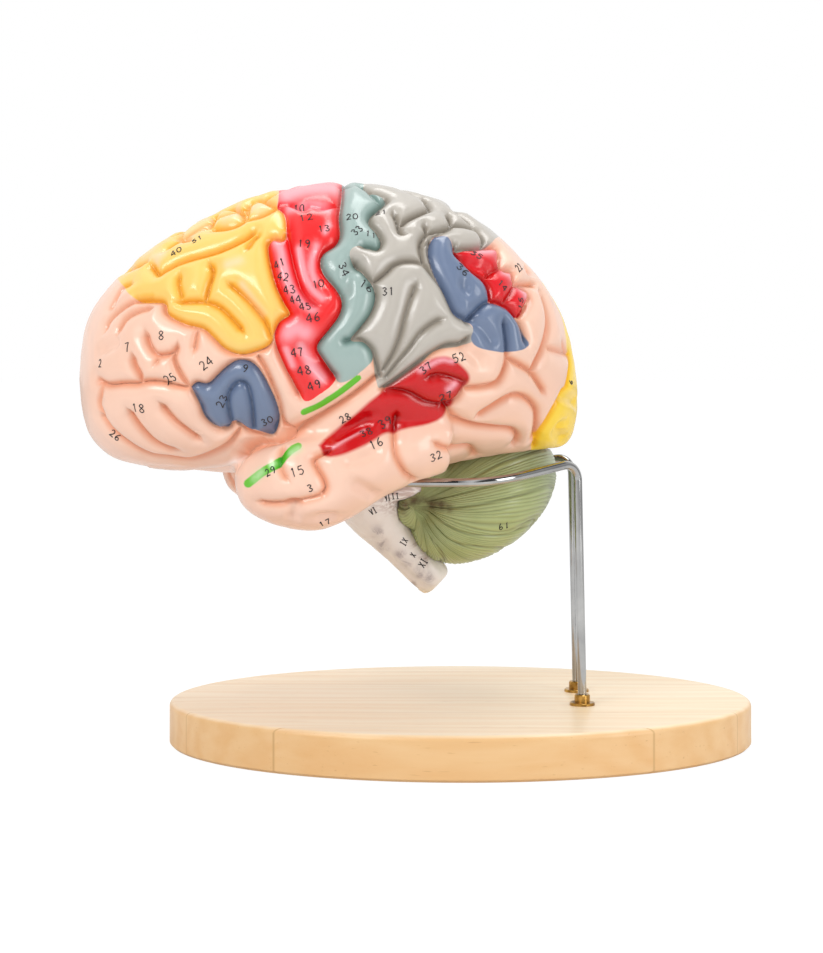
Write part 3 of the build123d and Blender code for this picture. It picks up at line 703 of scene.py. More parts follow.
# The flat inner face, the loop's seat and the cerebellum's hollow stay smooth
to_room = (Matrix.Diagonal((*[1 / (half + nest_gap) for half in cerebellum_half], 1.0))
           @ Matrix.Rotation(cerebellum_tilt, 4, "Y") @ Matrix.Translation(-cerebellum_middle)
           @ Matrix.Translation((brain_front_x, 0, -brain_base_drop)))
in_room = moved(points, to_room)
in_room_back = in_room - np.array(to_room.to_3x3() @ Vector((pull_back, 0, 0)))
room_off = np.minimum(np.linalg.norm(in_room, axis=1), np.linalg.norm(in_room_back, axis=1))
outer = np.clip((0.75 - normals[:, 1]) / 0.3, 0, 1)
outer *= np.clip((room_off - 1.03) / 0.05, 0, 1)
on_seat = (np.abs(points[:, 2] - brain_base_drop) < 0.003) & (normals[:, 2] < -0.9)
outer[on_seat] = 0.0

ridge_reach = 0.004
ridge_round = 0.0013
ridge_height = 0.0012
ridge = np.zeros(len(points))
ridge_line = seen_points(smooth_shape, smooth_path(ridge_path, path_px))
ids, off = near_path(points, ridge_line, ridge_reach)[:2]
ridge[ids] = np.exp(-(off / ridge_round) ** 2)

swell = 0.0008
wave_height = 0.0006
waves = np.array([noise.fractal(Vector(p) * 30.0, 1.0, 2.0, 3) for p in points])
midline_ease = np.clip(-points[:, 1] / 0.006, 0, 1)
rise = (swell + wave_height * waves) * midline_ease + ridge_height * ridge - drop
shaped = points + normals * (rise * outer)[:, None]
dome.data.vertices.foreach_set("co", shaped.ravel())
dome.data.update()
apply_modifier(dome, "SMOOTH", factor=0.3, iterations=1)

# Paint areas, outlined as pixels of the photograph. An outline runs past the brain's edge where the
# area goes on out of sight.
areas = {
    "yellow": [(118, 280), (150, 235), (200, 200), (268, 165), (283, 160), (279, 196), (276, 204),
               (284, 212),
               (285, 232), (281, 238), (272, 237), (267, 243), (268, 256), (274, 281), (282, 300),
               (289, 314),
               (279, 322), (273, 334), (270, 345), (255, 353), (239, 356), (224, 350), (212, 338),
               (202, 329),
               (182, 323), (165, 313), (160, 301), (135, 299)],
    "scarlet": [(276, 204), (279, 196), (283, 160), (343, 150), (342, 186), (341, 197), (339, 213),
                (340, 230),
                (336, 241), (323, 251), (320, 262), (325, 275), (338, 291), (342, 304), (339, 316),
                (330, 329),
                (319, 343), (317, 351), (322, 361), (330, 374), (336, 382), (322, 393), (304, 402),
                (290, 380),
                (280, 359), (275, 345), (274, 333), (279, 322), (289, 314), (282, 300), (274, 281),
                (268, 256),
                (267, 243), (272, 237), (281, 238), (286, 232), (284, 212)],
    "teal": [(342, 183), (343, 150), (370, 150), (364, 187), (376, 193), (387, 198), (380, 205), (371, 213),
             (370, 220), (378, 230), (382, 240), (378, 247), (368, 245), (357, 246), (350, 255), (363, 271),
             (373, 284), (376, 298), (371, 314), (361, 328), (351, 341), (363, 343), (372, 351), (373, 361),
             (366, 368), (354, 378),
             (340, 384), (336, 382), (330, 374), (322, 361), (317, 351), (319, 343), (330, 329), (339, 316),
             (342, 304), (338, 291), (325, 275), (320, 262), (323, 251), (336, 241), (340, 230), (339, 213),
             (341, 197)],
    "grey": [(387, 198), (376, 193), (364, 187), (370, 150), (398, 155), (470, 180), (510, 225),
             (495, 240), (487, 246), (476, 247), (459, 249),
             (456, 244), (446, 237), (436, 235), (431, 241), (430, 253), (435, 270), (443, 287), (450, 303),
             (457, 316), (470, 322), (474, 330), (474, 341), (464, 347), (440, 351), (426, 361), (412, 377),
             (399, 386), (381, 391), (376, 380), (374, 366), (372, 353), (363, 343), (351, 341), (361, 328),
             (371, 314), (376, 298), (373, 284), (363, 271), (350, 255), (357, 246), (368, 245), (378, 247),
             (382, 240), (378, 230), (370, 220), (371, 213), (380, 205)],
    "blue": [(436, 235), (446, 237), (456, 245), (459, 252), (473, 268), (485, 278), (491, 288), (493, 301),
             (501, 303), (511, 309), (521, 320), (527, 334), (529, 347), (510, 353), (495, 352), (478, 348),
             (472, 340), (474, 326), (467, 321), (457, 316), (450, 303), (443, 287), (435, 270), (430, 253),
             (431, 241)],
    "blue_front": [(190, 390), (196, 385), (207, 386), (216, 378), (225, 369), (236, 362), (248, 363),
                   (258, 371), (267, 387), (275, 405), (279, 421), (276, 432), (266, 436), (257, 432),
                   (249, 432), (239, 428), (232, 425), (229, 431), (218, 432), (209, 426), (203, 418),
                   (199, 407)],
    "red_patch": [(456, 243), (460, 249), (476, 247), (488, 246), (496, 247), (502, 257), (503, 267),
                  (514, 271), (517, 283), (528, 290), (530, 301), (525, 314), (520, 317), (511, 308),
                  (503, 303), (493, 300), (491, 288), (485, 278), (473, 268), (459, 252)],
    "crimson": [(319, 446), (331, 434), (348, 421), (371, 401), (385, 392), (400, 382), (413, 372),
                (426, 363),
                (439, 358), (449, 358), (461, 366), (469, 376), (468, 384), (463, 391), (456, 400),
                (449, 411),
                (441, 419), (425, 426), (405, 430), (393, 432), (384, 435), (373, 442), (360, 449),
                (341, 456),
                (328, 457)],
    "occipital": [(540, 284), (552, 301), (561, 320), (566, 345), (570, 363), (566, 389), (559, 401),
                  (550, 417), (538, 435), (531, 451), (545, 462), (580, 462), (620, 430), (625, 380),
                  (610, 300), (570, 260), (545, 268)],
    "green_back": [(578, 412), (575, 432), (568, 446), (566, 456), (580, 462), (600, 440), (600, 412)],
}
# Two brush strokes of green: pixels of the stroke and half its width
stripes = [([(304, 413), (320, 406), (340, 393), (358, 379)], 3.4),
           ([(249, 484), (262, 474), (274, 467), (281, 461)], 4.2),
           ([(282, 460), (290, 452), (298, 447)], 3.8)]
soft_edges = {"crimson": 2.2, "occipital": 0.9, "yellow": 0.9, "green": 0.8, "scarlet": 0.5}
# Pale pink brushed along the middle of the scarlet folds, flesh over the yellow at the crown, and
# white into the green: pixels of a stroke, then its radius in pixels
pale_strokes = {
    "pink_wash": [
        ([(286, 196), (302, 191), (320, 189), (334, 188)], 8), ([(288, 209), (300, 208), (312, 206),
        (328, 209)], 5),
        ([(276, 242), (281, 252), (284, 266), (288, 280), (294, 292), (304, 303), (312, 309)], 5.5),
        ([(299, 250), (302, 264), (306, 278), (313, 290), (322, 298)], 4),
        ([(316, 246), (312, 256), (311, 268), (314, 279)], 4), ([(325, 233), (329, 226)], 3),
        ([(288, 334), (297, 330), (305, 333)], 9), ([(301, 346), (306, 358), (313, 369), (322, 380)], 5),
        ([(286, 350), (292, 366)], 4), ([(481, 251), (491, 251)], 5), ([(505, 272), (511, 276)], 4),
        ([(521, 288), (526, 296)], 4), ([(333, 448), (348, 440), (364, 431)], 1.8), ([(448, 390),
        (456, 384)], 3),
        ([(420, 372), (440, 361), (452, 362)], 2.5)],
    "flesh_wash": [([(257, 208), (264, 204)], 7), ([(224, 218), (236, 214)], 6), ([(184, 235),
                   (196, 229), (205, 225)], 6),
                   ([(156, 259), (162, 255)], 5), ([(143, 254), (150, 248)], 6), ([(205, 205),
                   (216, 199)], 6),
                   ([(228, 266), (240, 262)], 5), ([(242, 285), (250, 297), (262, 314)], 4)],
    "white_wash": [([(256, 479), (262, 473)], 4.5), ([(272, 466), (275, 464)], 3), ([(292, 454),
                   (299, 450)], 4)],
}


def pixels_of(places):
    """Where places in the half's own frame stand in the photograph."""
    rows = np.array(brain_place)
    world_places = places @ rows[:3, :3].T + rows[:3, 3]
    ahead = world_places[:, 1] - eye.y
    u = sight_px[0] + focal_px * (world_places[:, 0] - eye.x) / ahead
    v = sight_px[1] + focal_px * (eye.z - world_places[:, 2]) / ahead
    return np.stack([u, v], axis=1)


def edge_distance(pixels, outline, closed=True):
    """Distance of each pixel from an outline, and whether it is inside."""
    corners = np.array(outline, float)
    ends = np.roll(corners, -1, axis=0) if closed else corners[1:]
    best = np.full(len(pixels), 1e9)
    within = np.zeros(len(pixels), bool)
    for a, b in zip(corners, ends):
        ab = b - a
        t = np.clip((pixels - a) @ ab / (ab @ ab), 0, 1)
        best = np.minimum(best, np.linalg.norm(pixels - a - t[:, None] * ab, axis=1))
        crosses = (a[1] > pixels[:, 1]) != (b[1] > pixels[:, 1])
        slope = ab[0] / (ab[1] if ab[1] else 1e-9)
        within ^= crosses & (pixels[:, 0] < a[0] + (pixels[:, 1] - a[1]) * slope)
    return best, within


def store(mesh, name, values):
    """Keeps one number for each point of the mesh."""
    field = mesh.attributes.new(name, "FLOAT", "POINT")
    field.data.foreach_set("value", np.asarray(values, np.float32))


painted_on = pixels_of(points)
shown_side = (outer > 0.3) & (normals[:, 1] < 0.6)
for name, outline in areas.items():
    rounded = smooth_path(outline + outline[:1], 3.0)[:-1]
    off, within = edge_distance(painted_on, rounded)
    store(dome.data, name, np.clip(np.where(within & shown_side, off, -off), -8, 8))
green = np.max([half_px - edge_distance(painted_on, smooth_path(line, 3.0), closed=False)[0]
                for line, half_px in stripes], axis=0)
store(dome.data, "green", np.clip(np.where(shown_side, green, -8), -8, 8))
for name, brushed in pale_strokes.items():
    cover = np.max([np.exp(-(edge_distance(painted_on, smooth_path(line, 3.0), False)[0] / radius) ** 2)
                    for line, radius in brushed], axis=0)
    store(dome.data, name, np.where(shown_side, cover, 0.0))
store(dome.data, "crease", crease_off * 1000)
store(dome.data, "ridge", ridge)

# Skin: vinyl in flesh pink, then each area's colour brushed over it, with painted shade darkening it in the
# creases (less on the blue areas), and a gloss lacquer over all. The colours are as they look on the piece.
area_colours = {
    "yellow": colour(247, 204, 112),
    "scarlet": colour(238, 42, 44),
    "teal": colour(158, 178, 173),
    "grey": colour(188, 182, 173),
    "blue": colour(112, 127, 154),
    "blue_front": colour(112, 127, 154),
    "red_patch": colour(222, 28, 38),
    "crimson": colour(202, 8, 16),
    "green": colour(98, 190, 40),
    "occipital": colour(250, 212, 62),
    "green_back": colour(96, 140, 96),
}
washes = {"pink_wash": (colour(250, 186, 196), 0.72), "flesh_wash": (colour(250, 216, 186), 0.55),
          "white_wash": (colour(206, 236, 188), 0.6)}


def stored(tree, name):
    """What the mesh keeps for each of its points under this name."""
    return add(tree, "Attribute", attribute_name=name).outputs["Fac"]


skin, skin_tree, skin_shader = new_material("painted_vinyl")
skin_place = add(skin_tree, "TexCoord").outputs["Object"]
blotches = add(skin_tree, "TexNoise", skin_place, Scale=28.0, Detail=3.0)
laid = mix(skin_tree, blotches, colour(240, 194, 170), colour(246, 208, 187))
area_edges = {}
for name, paint in area_colours.items():
    width = soft_edges.get(name, 0.6)
    area_edges[name] = soft_step(skin_tree, stored(skin_tree, name), From_Min=-width, From_Max=width)
    laid = mix(skin_tree, area_edges[name], laid, paint)
for name, (tint, strength) in washes.items():
    share = add(skin_tree, "Math", stored(skin_tree, name), strength, operation="MULTIPLY")
    laid = mix(skin_tree, share, laid, tint)
laid = mix(skin_tree, stored(skin_tree, "ridge"), laid, colour(246, 224, 214))
# Painted shade: the colour is darkened towards each crease, less so over the blue areas.
crease_shade = soft_step(skin_tree, stored(skin_tree, "crease"), From_Min=0.0, From_Max=4.2, To_Min=0.75,
                   To_Max=0.0)
blue_area = add(skin_tree, "Math", area_edges["blue"], area_edges["blue_front"], operation="MAXIMUM")
blue_shade_scale = add(skin_tree, "MapRange", blue_area, To_Min=1.0, To_Max=0.3)
crease_shade_power = add(skin_tree, "Math", crease_shade, blue_shade_scale, 1.0, operation="MULTIPLY_ADD")
crease_shaded_paint = add(skin_tree, "Gamma", laid, crease_shade_power)
orange_peel = add(skin_tree, "TexNoise", skin_place, Scale=260.0, Detail=2.0)
peel_bump = add(skin_tree, "Bump", Strength=0.06, Distance=0.0003, Height=orange_peel)
gloss_range = add(skin_tree, "MapRange", blotches, To_Min=0.20, To_Max=0.30)
plug(skin_shader, Base_Color=crease_shaded_paint, Normal=peel_bump, Roughness=gloss_range, Coat_Weight=0.08,
     Coat_Roughness=0.14)
dome.data.materials.clear()
dome.data.materials.append(skin)
most_triangles = 190000
dome.data.calc_loop_triangles()
apply_modifier(dome, "DECIMATE", ratio=min(1.0, most_triangles / len(dome.data.loop_triangles)))
only(dome)
bpy.ops.object.shade_smooth()

left_skin = dome
left_skin.name = "left_half_skin"
bpy.ops.object.duplicate()
right_skin = bpy.context.object
right_skin.name = "right_half_skin"
bpy.ops.object.mode_set(mode="EDIT")
bpy.ops.mesh.select_all(action="SELECT")
bpy.ops.transform.resize(value=(1, -1, 1), center_override=(0, 0, 0))
bpy.ops.mesh.flip_normals()
bpy.ops.object.mode_set(mode="OBJECT")

# Numbers: written by hand on the finished halves with a fine black pen, each a few strokes that
# follow the surface. The same numbers stand on both halves.
strokes = {
    "0": [[(0.5, 1), (0.15, 0.8), (0.05, 0.5), (0.15, 0.15), (0.5, 0), (0.85, 0.2), (0.95, 0.5),
           (0.85, 0.85),
           (0.5, 1)]],
    "1": [[(0.3, 0.82), (0.52, 1), (0.5, 0.5), (0.5, 0)]],
    "2": [[(0.1, 0.8), (0.42, 1), (0.82, 0.82), (0.72, 0.5), (0.1, 0.02), (0.5, 0.06), (0.98, 0.02)]],
    "3": [[(0.1, 0.9), (0.5, 1), (0.85, 0.8), (0.45, 0.55), (0.9, 0.3), (0.5, 0), (0.08, 0.12)]],
    "4": [[(0.7, 0), (0.7, 1)], [(0.7, 1), (0.05, 0.35), (0.95, 0.35)]],
    "5": [[(0.85, 1), (0.2, 0.97)], [(0.2, 0.97), (0.15, 0.58), (0.6, 0.62), (0.88, 0.33), (0.55, 0.02),
           (0.1, 0.1)]],
    "6": [[(0.8, 0.97), (0.35, 0.7), (0.1, 0.3), (0.42, 0), (0.85, 0.2), (0.6, 0.48), (0.18, 0.32)]],
    "7": [[(0.1, 0.96), (0.9, 1)], [(0.9, 1), (0.55, 0.5), (0.4, 0)]],
    "8": [[(0.5, 0.52), (0.15, 0.78), (0.5, 1), (0.85, 0.78), (0.5, 0.52), (0.1, 0.22), (0.5, 0),
           (0.9, 0.22),
           (0.5, 0.52)]],
    "9": [[(0.85, 0.72), (0.5, 0.5), (0.15, 0.72), (0.5, 1), (0.85, 0.78), (0.8, 0.35), (0.55, 0)]],
    "I": [[(0.5, 1), (0.5, 0)], [(0.2, 1), (0.8, 1)], [(0.2, 0), (0.8, 0)]],
    "V": [[(0.05, 1), (0.5, 0)], [(0.5, 0), (0.95, 1)]],
    "X": [[(0.05, 1), (0.95, 0)], [(0.95, 1), (0.05, 0)]],
}
# Number, pixel of its middle, slope in degrees
numbers = [
    ("8", 161, 336, 0), ("21", 381, 213, 5), ("20", 352, 217, 5), ("11", 371, 235, 0),
    ("16", 366, 287, -20),
    ("31", 388, 292, 0), ("10", 299, 209, 0), ("12", 306, 218, 12), ("19", 304, 244, 0),
    ("13", 324, 229, 12),
    ("10", 318, 285, 15), ("28", 345, 419, 28), ("16", 376, 444, 25), ("15", 297, 472, 20),
    ("3", 310, 489, 15),
    ("29", 270, 472, 20), ("30", 267, 422, 30), ("9", 245, 369, -20), ("17", 325, 524, 20),
    ("32", 436, 457, 15),
    ("27", 446, 397, 20), ("2", 100, 364, 0), ("15", 521, 304, 60), ("22", 519, 268, 40),
    ("7", 127, 348, 10),
    ("24", 206, 364, 40), ("25", 170, 379, 35), ("18", 138, 409, 8), ("26", 115, 436, -35),
    ("23", 222, 402, 65),
    ("41", 279, 264, 18), ("42", 283, 277, -8), ("43", 289, 290, 10), ("44", 295, 300, 10),
    ("45", 305, 307, 10),
    ("46", 313, 318, 12), ("47", 297, 353, 12), ("48", 304, 371, 10), ("49", 314, 386, 15),
    ("33", 357, 231, 50),
    ("34", 344, 270, -65), ("35", 477, 255, -40), ("36", 463, 270, -40), ("37", 426, 369, 38),
    ("38", 366, 433, 35),
    ("39", 385, 423, 30), ("40", 176, 252, 28), ("51", 197, 240, 28), ("14", 503, 286, -40),
    ("6", 571, 383, 70),
    ("52", 459, 358, 15),
]
digit_px = (5.0, 7.6)
digit_gap_px = 1.6
pen_radius = 0.00031
pen_ink, ink_tree, ink_shader = new_material("black_pen")
ink_place = add(ink_tree, "TexCoord").outputs["Object"]
ink_fade = add(ink_tree, "TexNoise", ink_place, Scale=300.0, Detail=2.0)
ink_tones = ramp(ink_tree, ink_fade, (0.35, colour(18, 16, 18)), (0.75, colour(62, 52, 54)))
plug(ink_shader, Base_Color=ink_tones, Roughness=0.45)


picture_right = turn_inside @ Vector((1, 0, 0))
picture_up = turn_inside @ Vector((0, 0, 1))
metres_per_px = -eye.y / focal_px


def pen_lines(name, shape, texts, flip, height_px=digit_px[1], width_px=digit_px[0], gap_px=digit_gap_px):
    """The strokes of some numbers, each laid on the shape around the spot seen at its pixel."""
    curve = bpy.data.curves.new(name, "CURVE")
    curve.dimensions = "3D"
    curve.bevel_depth = pen_radius
    curve.bevel_resolution = 1
    curve.use_fill_caps = True
    jitter = np.random.default_rng(5)
    for text, u, v, slope in texts:
        lean = math.radians(slope + jitter.uniform(-4, 4))
        size = float(jitter.uniform(0.9, 1.12))
        span = len(text) * width_px + (len(text) - 1) * gap_px
        middle, facing = shape.ray_cast(eye_inside, sight(u, v))[:2]
        turned = (-1 if flip else 1) * math.cos(lean) * picture_right + math.sin(lean) * picture_up
        along_text = (turned - facing * turned.dot(facing)).normalized()
        up_text = facing.cross(along_text) * (-1 if flip else 1)
        for i, digit in enumerate(text):
            for line in strokes[digit]:
                spots = []
                for x, y in smooth_path(line, 0.12).tolist():
                    across = (i * (width_px + gap_px) + x * width_px - span / 2) * size * metres_per_px
                    up = (y - 0.5) * height_px * size * metres_per_px
                    spots.append(shape.find_nearest(middle + across * along_text + up * up_text)[0])
                spline = curve.splines.new("POLY")
                spline.points.add(len(spots) - 1)
                for point, spot in zip(spline.points, spots):
                    point.co = (*spot, 1.0)
    written = bpy.data.objects.new(name, curve)
    bpy.context.scene.collection.objects.link(written)
    only(written)
    bpy.ops.object.convert(target="MESH")
    written = bpy.context.object
    written.data.materials.append(pen_ink)
    return written


furrowed_shape = BVHTree.FromObject(left_skin, bpy.context.evaluated_depsgraph_get())
left_numbers = pen_lines("left_half_numbers", furrowed_shape, numbers, False)
right_numbers = pen_lines("right_half_numbers", furrowed_shape, numbers, True)
right_numbers.data.transform(Matrix.Diagonal((1, -1, 1, 1)))
right_numbers.data.flip_normals()
lifted = Matrix.Translation((0, 0, lift_gap)) @ brain_place
for piece, body, place in ((left_skin, "left_half", lifted), (left_numbers, "left_half", lifted),
                           (right_skin, "root", brain_place), (right_numbers, "root", brain_place)):
    piece.data.transform(place)
    piece.data.update()
    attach(piece, body)
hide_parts("left_hemisphere")
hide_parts("right_hemisphere")


# Brainstem: a cast vinyl stalk, grey-white, with the bulge of the pons at its top, a groove down its
# front, smudges of grey brushed along its back edge and brown painted shade there, where it lies against the
# cerebellum. Its cut end is yellowish.
def copy_node(name, new_name):
    """A merged copy of a carried-over piece, free to be shaped."""
    bpy.ops.object.select_all(action="DESELECT")
    copied = nodes[name].copy()
    copied.data = nodes[name].data.copy()
    copied.parent = None
    for key in list(copied.keys()):
        del copied[key]
    copied.name = new_name
    bpy.context.scene.collection.objects.link(copied)
    copied.hide_viewport = False
    copied.hide_render = False
    copied.hide_set(False)
    copied.select_set(True)
    bpy.context.view_layer.objects.active = copied
    bpy.ops.object.mode_set(mode="EDIT")
    bpy.ops.mesh.select_all(action="SELECT")
    bpy.ops.mesh.remove_doubles(threshold=0.00001)
    bpy.ops.mesh.normals_make_consistent(inside=False)
    bpy.ops.object.mode_set(mode="OBJECT")
    return copied


stem_frame = (Matrix.Translation((loop_middle_x, 0, seat_z)) @ Matrix.Rotation(brain_turn, 4, "Z"))
stem = copy_node("brainstem", "brainstem_skin")
stem.data.materials.clear()
peduncle_middle = Vector((-0.0345, 0.0175, -0.0105))
peduncle_half = (0.0170, 0.0065, 0.0056)
for side in (-1, 1):
    bpy.ops.object.select_all(action="DESELECT")
    bpy.ops.mesh.primitive_uv_sphere_add(segments=48, ring_count=24, radius=1.0)
    peduncle = bpy.context.object
    middle = Vector((peduncle_middle.x, side * peduncle_middle.y, peduncle_middle.z))
    peduncle.data.transform(stem_frame @ Matrix.Translation(middle)
                            @ Matrix.Rotation(side * 0.20, 4, "Z") @ Matrix.Rotation(-0.14, 4, "Y")
                            @ Matrix.Diagonal((*peduncle_half, 1.0)))
    apply_modifier(stem, "BOOLEAN", operation="UNION", object=peduncle, solver="EXACT")
    bpy.data.objects.remove(peduncle)
apply_modifier(stem, "REMESH", mode="VOXEL", voxel_size=0.0011)
apply_modifier(stem, "SMOOTH", factor=0.5, iterations=4)
stem_points = mesh_points(stem.data)
stem_normals = mesh_points(stem.data, "normal")
stem_local = moved(stem_points, stem_frame.inverted())
lumps = np.array([noise.fractal(Vector(p) * 70.0, 1.0, 2.0, 4) for p in stem_points])
front_groove = np.exp(-(stem_local[:, 1] / 0.0022) ** 2) * (stem_local[:, 0] < -0.02)
side_grooves = np.exp(-((np.abs(stem_local[:, 1]) - 0.010) / 0.0016) ** 2)
stem_drop = 0.0006 * np.clip(lumps + 0.2, 0, 1) + 0.0014 * front_groove + 0.0006 * side_grooves
below_seat = np.clip(-stem_local[:, 2] / 0.006, 0, 1)
shaped = stem_points - stem_normals * (stem_drop * below_seat)[:, None]
stem.data.vertices.foreach_set("co", shaped.ravel())
stem.data.update()
stem_length = 0.073
stem_along = np.clip(-stem_local[:, 2] / stem_length, 0, 1)
store(stem.data, "stem_along", stem_along)
strand_reach = np.linalg.norm((stem_local - np.array(peduncle_middle) * np.stack(
    [np.ones(len(stem_local)), np.sign(stem_local[:, 1]), np.ones(len(stem_local))], axis=1))
    / (0.024, 0.012, 0.012), axis=1)
store(stem.data, "strands", np.clip(1.3 - strand_reach, 0, 1))


def as_left(stem_places):
    """Where places in the stem's frame, or their mirror images on the left, stand in the photograph."""
    left = stem_places * (1, 0, 1) - np.abs(stem_places) * (0, 1, 0)
    return pixels_of(left - (brain_front_x, 0, -brain_base_drop))


def spotted(pixels, spots):
    """How far each pixel is covered by some soft round spots: pixel, then radius in pixels."""
    return np.max([np.exp(-(np.linalg.norm(pixels - (u, v), axis=1) / radius) ** 2)
                   for u, v, radius in spots], axis=0)


stem_pixels = as_left(stem_local)
# Painted shade: brown spots along the stem's back edge, where it lies against the cerebellum.
edge_shade_spots = [(397, 508, 6), (402, 518, 6), (408, 529, 6), (415, 541, 6), (422, 552, 6), (427, 560, 5)]
grey_spots = [(377, 534, 7), (383, 545, 6), (401, 555, 6), (405, 563, 6), (420, 573, 6), (428, 578, 6),
              (412, 585, 4)]
store(stem.data, "edge_shade_spots", spotted(stem_pixels, edge_shade_spots))
store(stem.data, "grey_spots", spotted(stem_pixels, grey_spots))

stem_paint, stem_tree, stem_shader = new_material("stem_vinyl")
stem_place = add(stem_tree, "TexCoord").outputs["Object"]
cloud = add(stem_tree, "TexNoise", stem_place, Scale=110.0, Detail=4.0, Roughness=0.6)
# Noise that breaks up both the grey smudges and the brown painted shade.
smudge_and_shade_noise = add(stem_tree, "TexNoise", stem_place, Scale=75.0, Detail=5.0, Roughness=0.7, Distortion=0.6)
smudge_and_shade_cut = soft_step(stem_tree, smudge_and_shade_noise, From_Min=0.44, From_Max=0.60, To_Min=0.25)
stem_tone = mix(stem_tree, cloud, colour(226, 216, 208), colour(240, 234, 228))
# Grey smudges, then brown painted shade along the back edge.
for name, paint in (("grey_spots", colour(150, 138, 142)), ("edge_shade_spots", colour(128, 92, 70))):
    share = add(stem_tree, "Math", smudge_and_shade_cut, stored(stem_tree, name), operation="MULTIPLY")
    stem_tone = mix(stem_tree, share, stem_tone, paint)
tip_edge = soft_step(stem_tree, stored(stem_tree, "stem_along"), From_Min=0.90, From_Max=1.0, To_Max=0.7)
stem_tone = mix(stem_tree, tip_edge, stem_tone, colour(238, 222, 186))
strand_map = add(stem_tree, "Mapping", stem_place, Rotation=(0.0, math.radians(8), 0.0),
                 Scale=(0.12, 1.0, 1.0))
strand_lines = add(stem_tree, "TexNoise", strand_map, Scale=620.0, Detail=2.0)
strand_cut = soft_step(stem_tree, strand_lines, From_Min=0.40, From_Max=0.60)
strand_tones = mix(stem_tree, strand_cut, colour(190, 164, 158), colour(246, 240, 238))
stem_tone = mix(stem_tree, stored(stem_tree, "strands"), stem_tone, strand_tones)
stem_bump = add(stem_tree, "Bump", Strength=0.15, Distance=0.0005, Height=cloud)
plug(stem_shader, Base_Color=stem_tone, Normal=stem_bump, Roughness=0.42, Coat_Weight=0.2,
     Coat_Roughness=0.2)
stem.data.materials.append(stem_paint)
bpy.ops.object.shade_smooth()
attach(stem, "stem")
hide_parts("brainstem")

# Cerebellum: cast with fine leaves that fan out from the side poles and sweep back round it, olive
# green, with painted shade darkening the grooves. It is cut away in front to sit against the brainstem, and
# is drawn narrower than the solid, for more room between it and the wire as it is pulled back.
leaf_count = 108
points_per_leaf = 6
leaf_height = 0.0007
lobule_depth = 0.0018
width_share = 0.935
swell_way = (-0.60, 0.20, 0.77)
swell_share = 0.24
pole_shift = 2.0
pole_way = (0.73, 0.0, -0.68)
bpy.ops.object.select_all(action="DESELECT")
bpy.ops.mesh.primitive_uv_sphere_add(segments=leaf_count * points_per_leaf, ring_count=110, radius=1.0,
                                     rotation=(math.pi / 2, 0, 0))
cerebellum = bpy.context.object
cerebellum.name = "cerebellum_skin"
bpy.ops.object.transform_apply()
ball = mesh_points(cerebellum.data)
turn = np.arctan2(ball[:, 2], ball[:, 0])
ring_size = np.sqrt(np.clip(1 - ball[:, 1] ** 2, 0, 1))
shifted = ball - pole_shift * (1 - ring_size)[:, None] * np.array(pole_way)
shifted /= np.linalg.norm(shifted, axis=1)[:, None]
front_lean = np.stack([shifted[:, 0], np.abs(shifted[:, 1]), shifted[:, 2]], axis=1) @ swell_way
front_swell = np.clip((front_lean - 0.82) / 0.16, 0, 1)
near_middle = np.clip((0.72 - np.abs(shifted[:, 1])) / 0.30, 0, 1)
reach_out = 1 + swell_share * near_middle * front_swell ** 2 * (3 - 2 * front_swell)


def wavering(round_by, across_by):
    """Smooth noise over the ball, finer for larger numbers."""
    return np.array([noise.noise(Vector((math.cos(t) * round_by, math.sin(t) * round_by, y * across_by)))
                     for t, y in zip(turn, ball[:, 1])])


bend = wavering(2.0, 3.0)
fine = wavering(9.0, 4.0)
leaf_phase = turn * leaf_count / (2 * math.pi) + 2.2 * bend + 0.5 * fine
leaf_wave = np.abs(np.sin(math.pi * leaf_phase)) ** 0.7
lobule_phase = leaf_phase / 7.0 + 0.35 * bend
lobule_groove = np.exp(-((lobule_phase - np.round(lobule_phase)) / 0.07) ** 2)
leaf_ease = np.clip(ring_size / 0.35, 0, 1)
strength = 0.55 + 0.45 * np.clip(fine + 0.5, 0, 1)
leaf_drop = leaf_ease * (leaf_height * strength * (1 - leaf_wave) + lobule_depth * 0.6 * lobule_groove)
half_sizes = np.array(cerebellum_half) * (1.0, width_share, 1.0)
leaf_normal = shifted / half_sizes
leaf_normal /= np.linalg.norm(leaf_normal, axis=1)[:, None]
local = shifted * half_sizes * reach_out[:, None] - leaf_normal * leaf_drop[:, None]
cerebellum.data.vertices.foreach_set("co", local.ravel())
cerebellum.data.update()
groove = leaf_ease * ((1 - leaf_wave) * strength * 0.8 + 0.5 * lobule_groove)
store(cerebellum.data, "groove", np.clip(groove, 0, 1))
store(cerebellum.data, "rear", local[:, 0] * 1000)
in_stem = Matrix.Translation(cerebellum_middle) @ Matrix.Rotation(-cerebellum_tilt, 4, "Y")
cerebellum_pixels = as_left(moved(local, in_stem))
# Painted shadow cast by the temporal lobe: soft spots where the cerebellum lies just below it.
lobe_shadow_spots = [(414, 501, 7), (423, 503, 7), (432, 504, 7), (441, 505, 6), (449, 508, 4), (406, 505, 5),
              (405, 513, 4)]
store(cerebellum.data, "pole", spotted(cerebellum_pixels, lobe_shadow_spots))
cerebellum.data.transform(stem_frame @ Matrix.Translation(cerebellum_middle)
                          @ Matrix.Rotation(-cerebellum_tilt, 4, "Y"))
stem_seam = 0.0004
cutter = stem.copy()
cutter.data = stem.data.copy()
cutter.parent = None
bpy.context.scene.collection.objects.link(cutter)
only(cutter)
bpy.ops.object.mode_set(mode="EDIT")
bpy.ops.mesh.select_all(action="SELECT")
bpy.ops.transform.shrink_fatten(value=stem_seam)
bpy.ops.object.mode_set(mode="OBJECT")
apply_modifier(cutter, "REMESH", mode="VOXEL", voxel_size=0.0013)
apply_modifier(cerebellum, "BOOLEAN", operation="DIFFERENCE", object=cutter, solver="EXACT")
bpy.data.objects.remove(cutter)

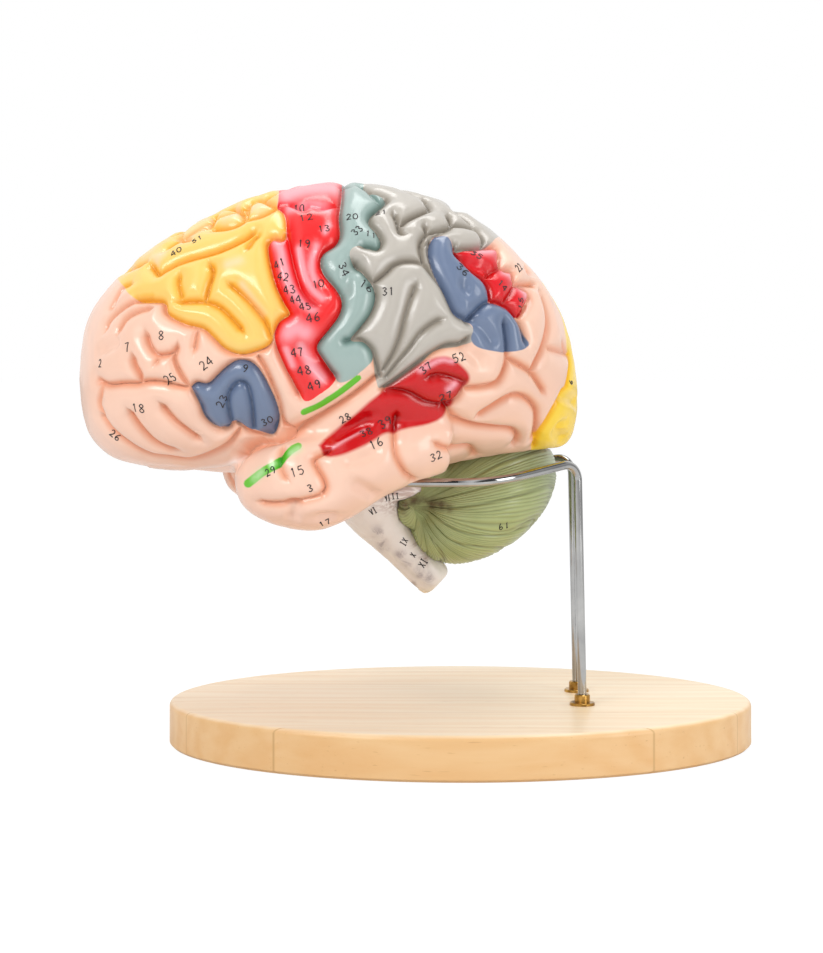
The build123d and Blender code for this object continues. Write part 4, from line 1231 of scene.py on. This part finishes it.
olive, olive_tree, olive_shader = new_material("olive_vinyl")
olive_place = add(olive_tree, "TexCoord").outputs["Object"]
olive_cloud = add(olive_tree, "TexNoise", olive_place, Scale=45.0, Detail=3.0)
olive_tone = mix(olive_tree, olive_cloud, colour(158, 168, 104), colour(182, 194, 138))
rear_edge = soft_step(olive_tree, stored(olive_tree, "rear"), From_Min=15.0, From_Max=50.0, To_Max=0.65)
olive_tone = mix(olive_tree, rear_edge, olive_tone, colour(172, 184, 158))
# Painted shadow below the temporal lobe: dark brown, broken up by noise.
lobe_shadow_noise = add(olive_tree, "TexNoise", olive_place, Scale=140.0, Detail=4.0)
lobe_shadow_breakup = add(olive_tree, "MapRange", lobe_shadow_noise, From_Min=0.25, From_Max=0.50)
lobe_shadow_share = add(olive_tree, "Math", stored(olive_tree, "pole"), lobe_shadow_breakup, operation="MULTIPLY")
olive_tone = mix(olive_tree, lobe_shadow_share, olive_tone, colour(92, 78, 46))
# Painted shade: the grooves between the leaves are darkened.
groove_shade_share = add(olive_tree, "Math", stored(olive_tree, "groove"), 0.75, operation="MULTIPLY")
olive_tone = mix(olive_tree, groove_shade_share, olive_tone, colour(96, 92, 48))
plug(olive_shader, Base_Color=olive_tone, Roughness=0.34, Coat_Weight=0.3, Coat_Roughness=0.16)
cerebellum.data.materials.clear()
cerebellum.data.materials.append(olive)
only(cerebellum)
bpy.ops.object.shade_smooth()
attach(cerebellum, "little_brain")
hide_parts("cerebellum")

# Marks on the brainstem and the cerebellum: plain numerals in the same pen, smaller than those on
# the halves.
def shape_inside(piece):
    """A piece placed in the world, as a shape in the half's own frame."""
    mesh = piece.data.copy()
    mesh.transform(inside)
    corners = [tuple(v.co) for v in mesh.vertices]
    shape = BVHTree.FromPolygons(corners, [tuple(p.vertices) for p in mesh.polygons])
    bpy.data.meshes.remove(mesh)
    return shape


stem_marks = [("VIII", 391, 497, 5), ("VI", 373, 511, 30), ("IX", 404, 542, 60), ("X", 413, 555, 60),
              ("XI", 423, 563, 60)]
stem_numbers = pen_lines("brainstem_numbers", shape_inside(stem), stem_marks, False, 6.6, 3.0, 0.9)
cerebellum_numbers = pen_lines("cerebellum_numbers", shape_inside(cerebellum), [("19", 504, 526, 180)], False,
                               6.5, 4.4)
for piece, body, finish in ((stem_numbers, "stem", "stem_plastic"),
                            (cerebellum_numbers, "little_brain", "cerebellum_plastic")):
    piece.data.transform(brain_place)
    piece.data.update()
    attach(piece, body)
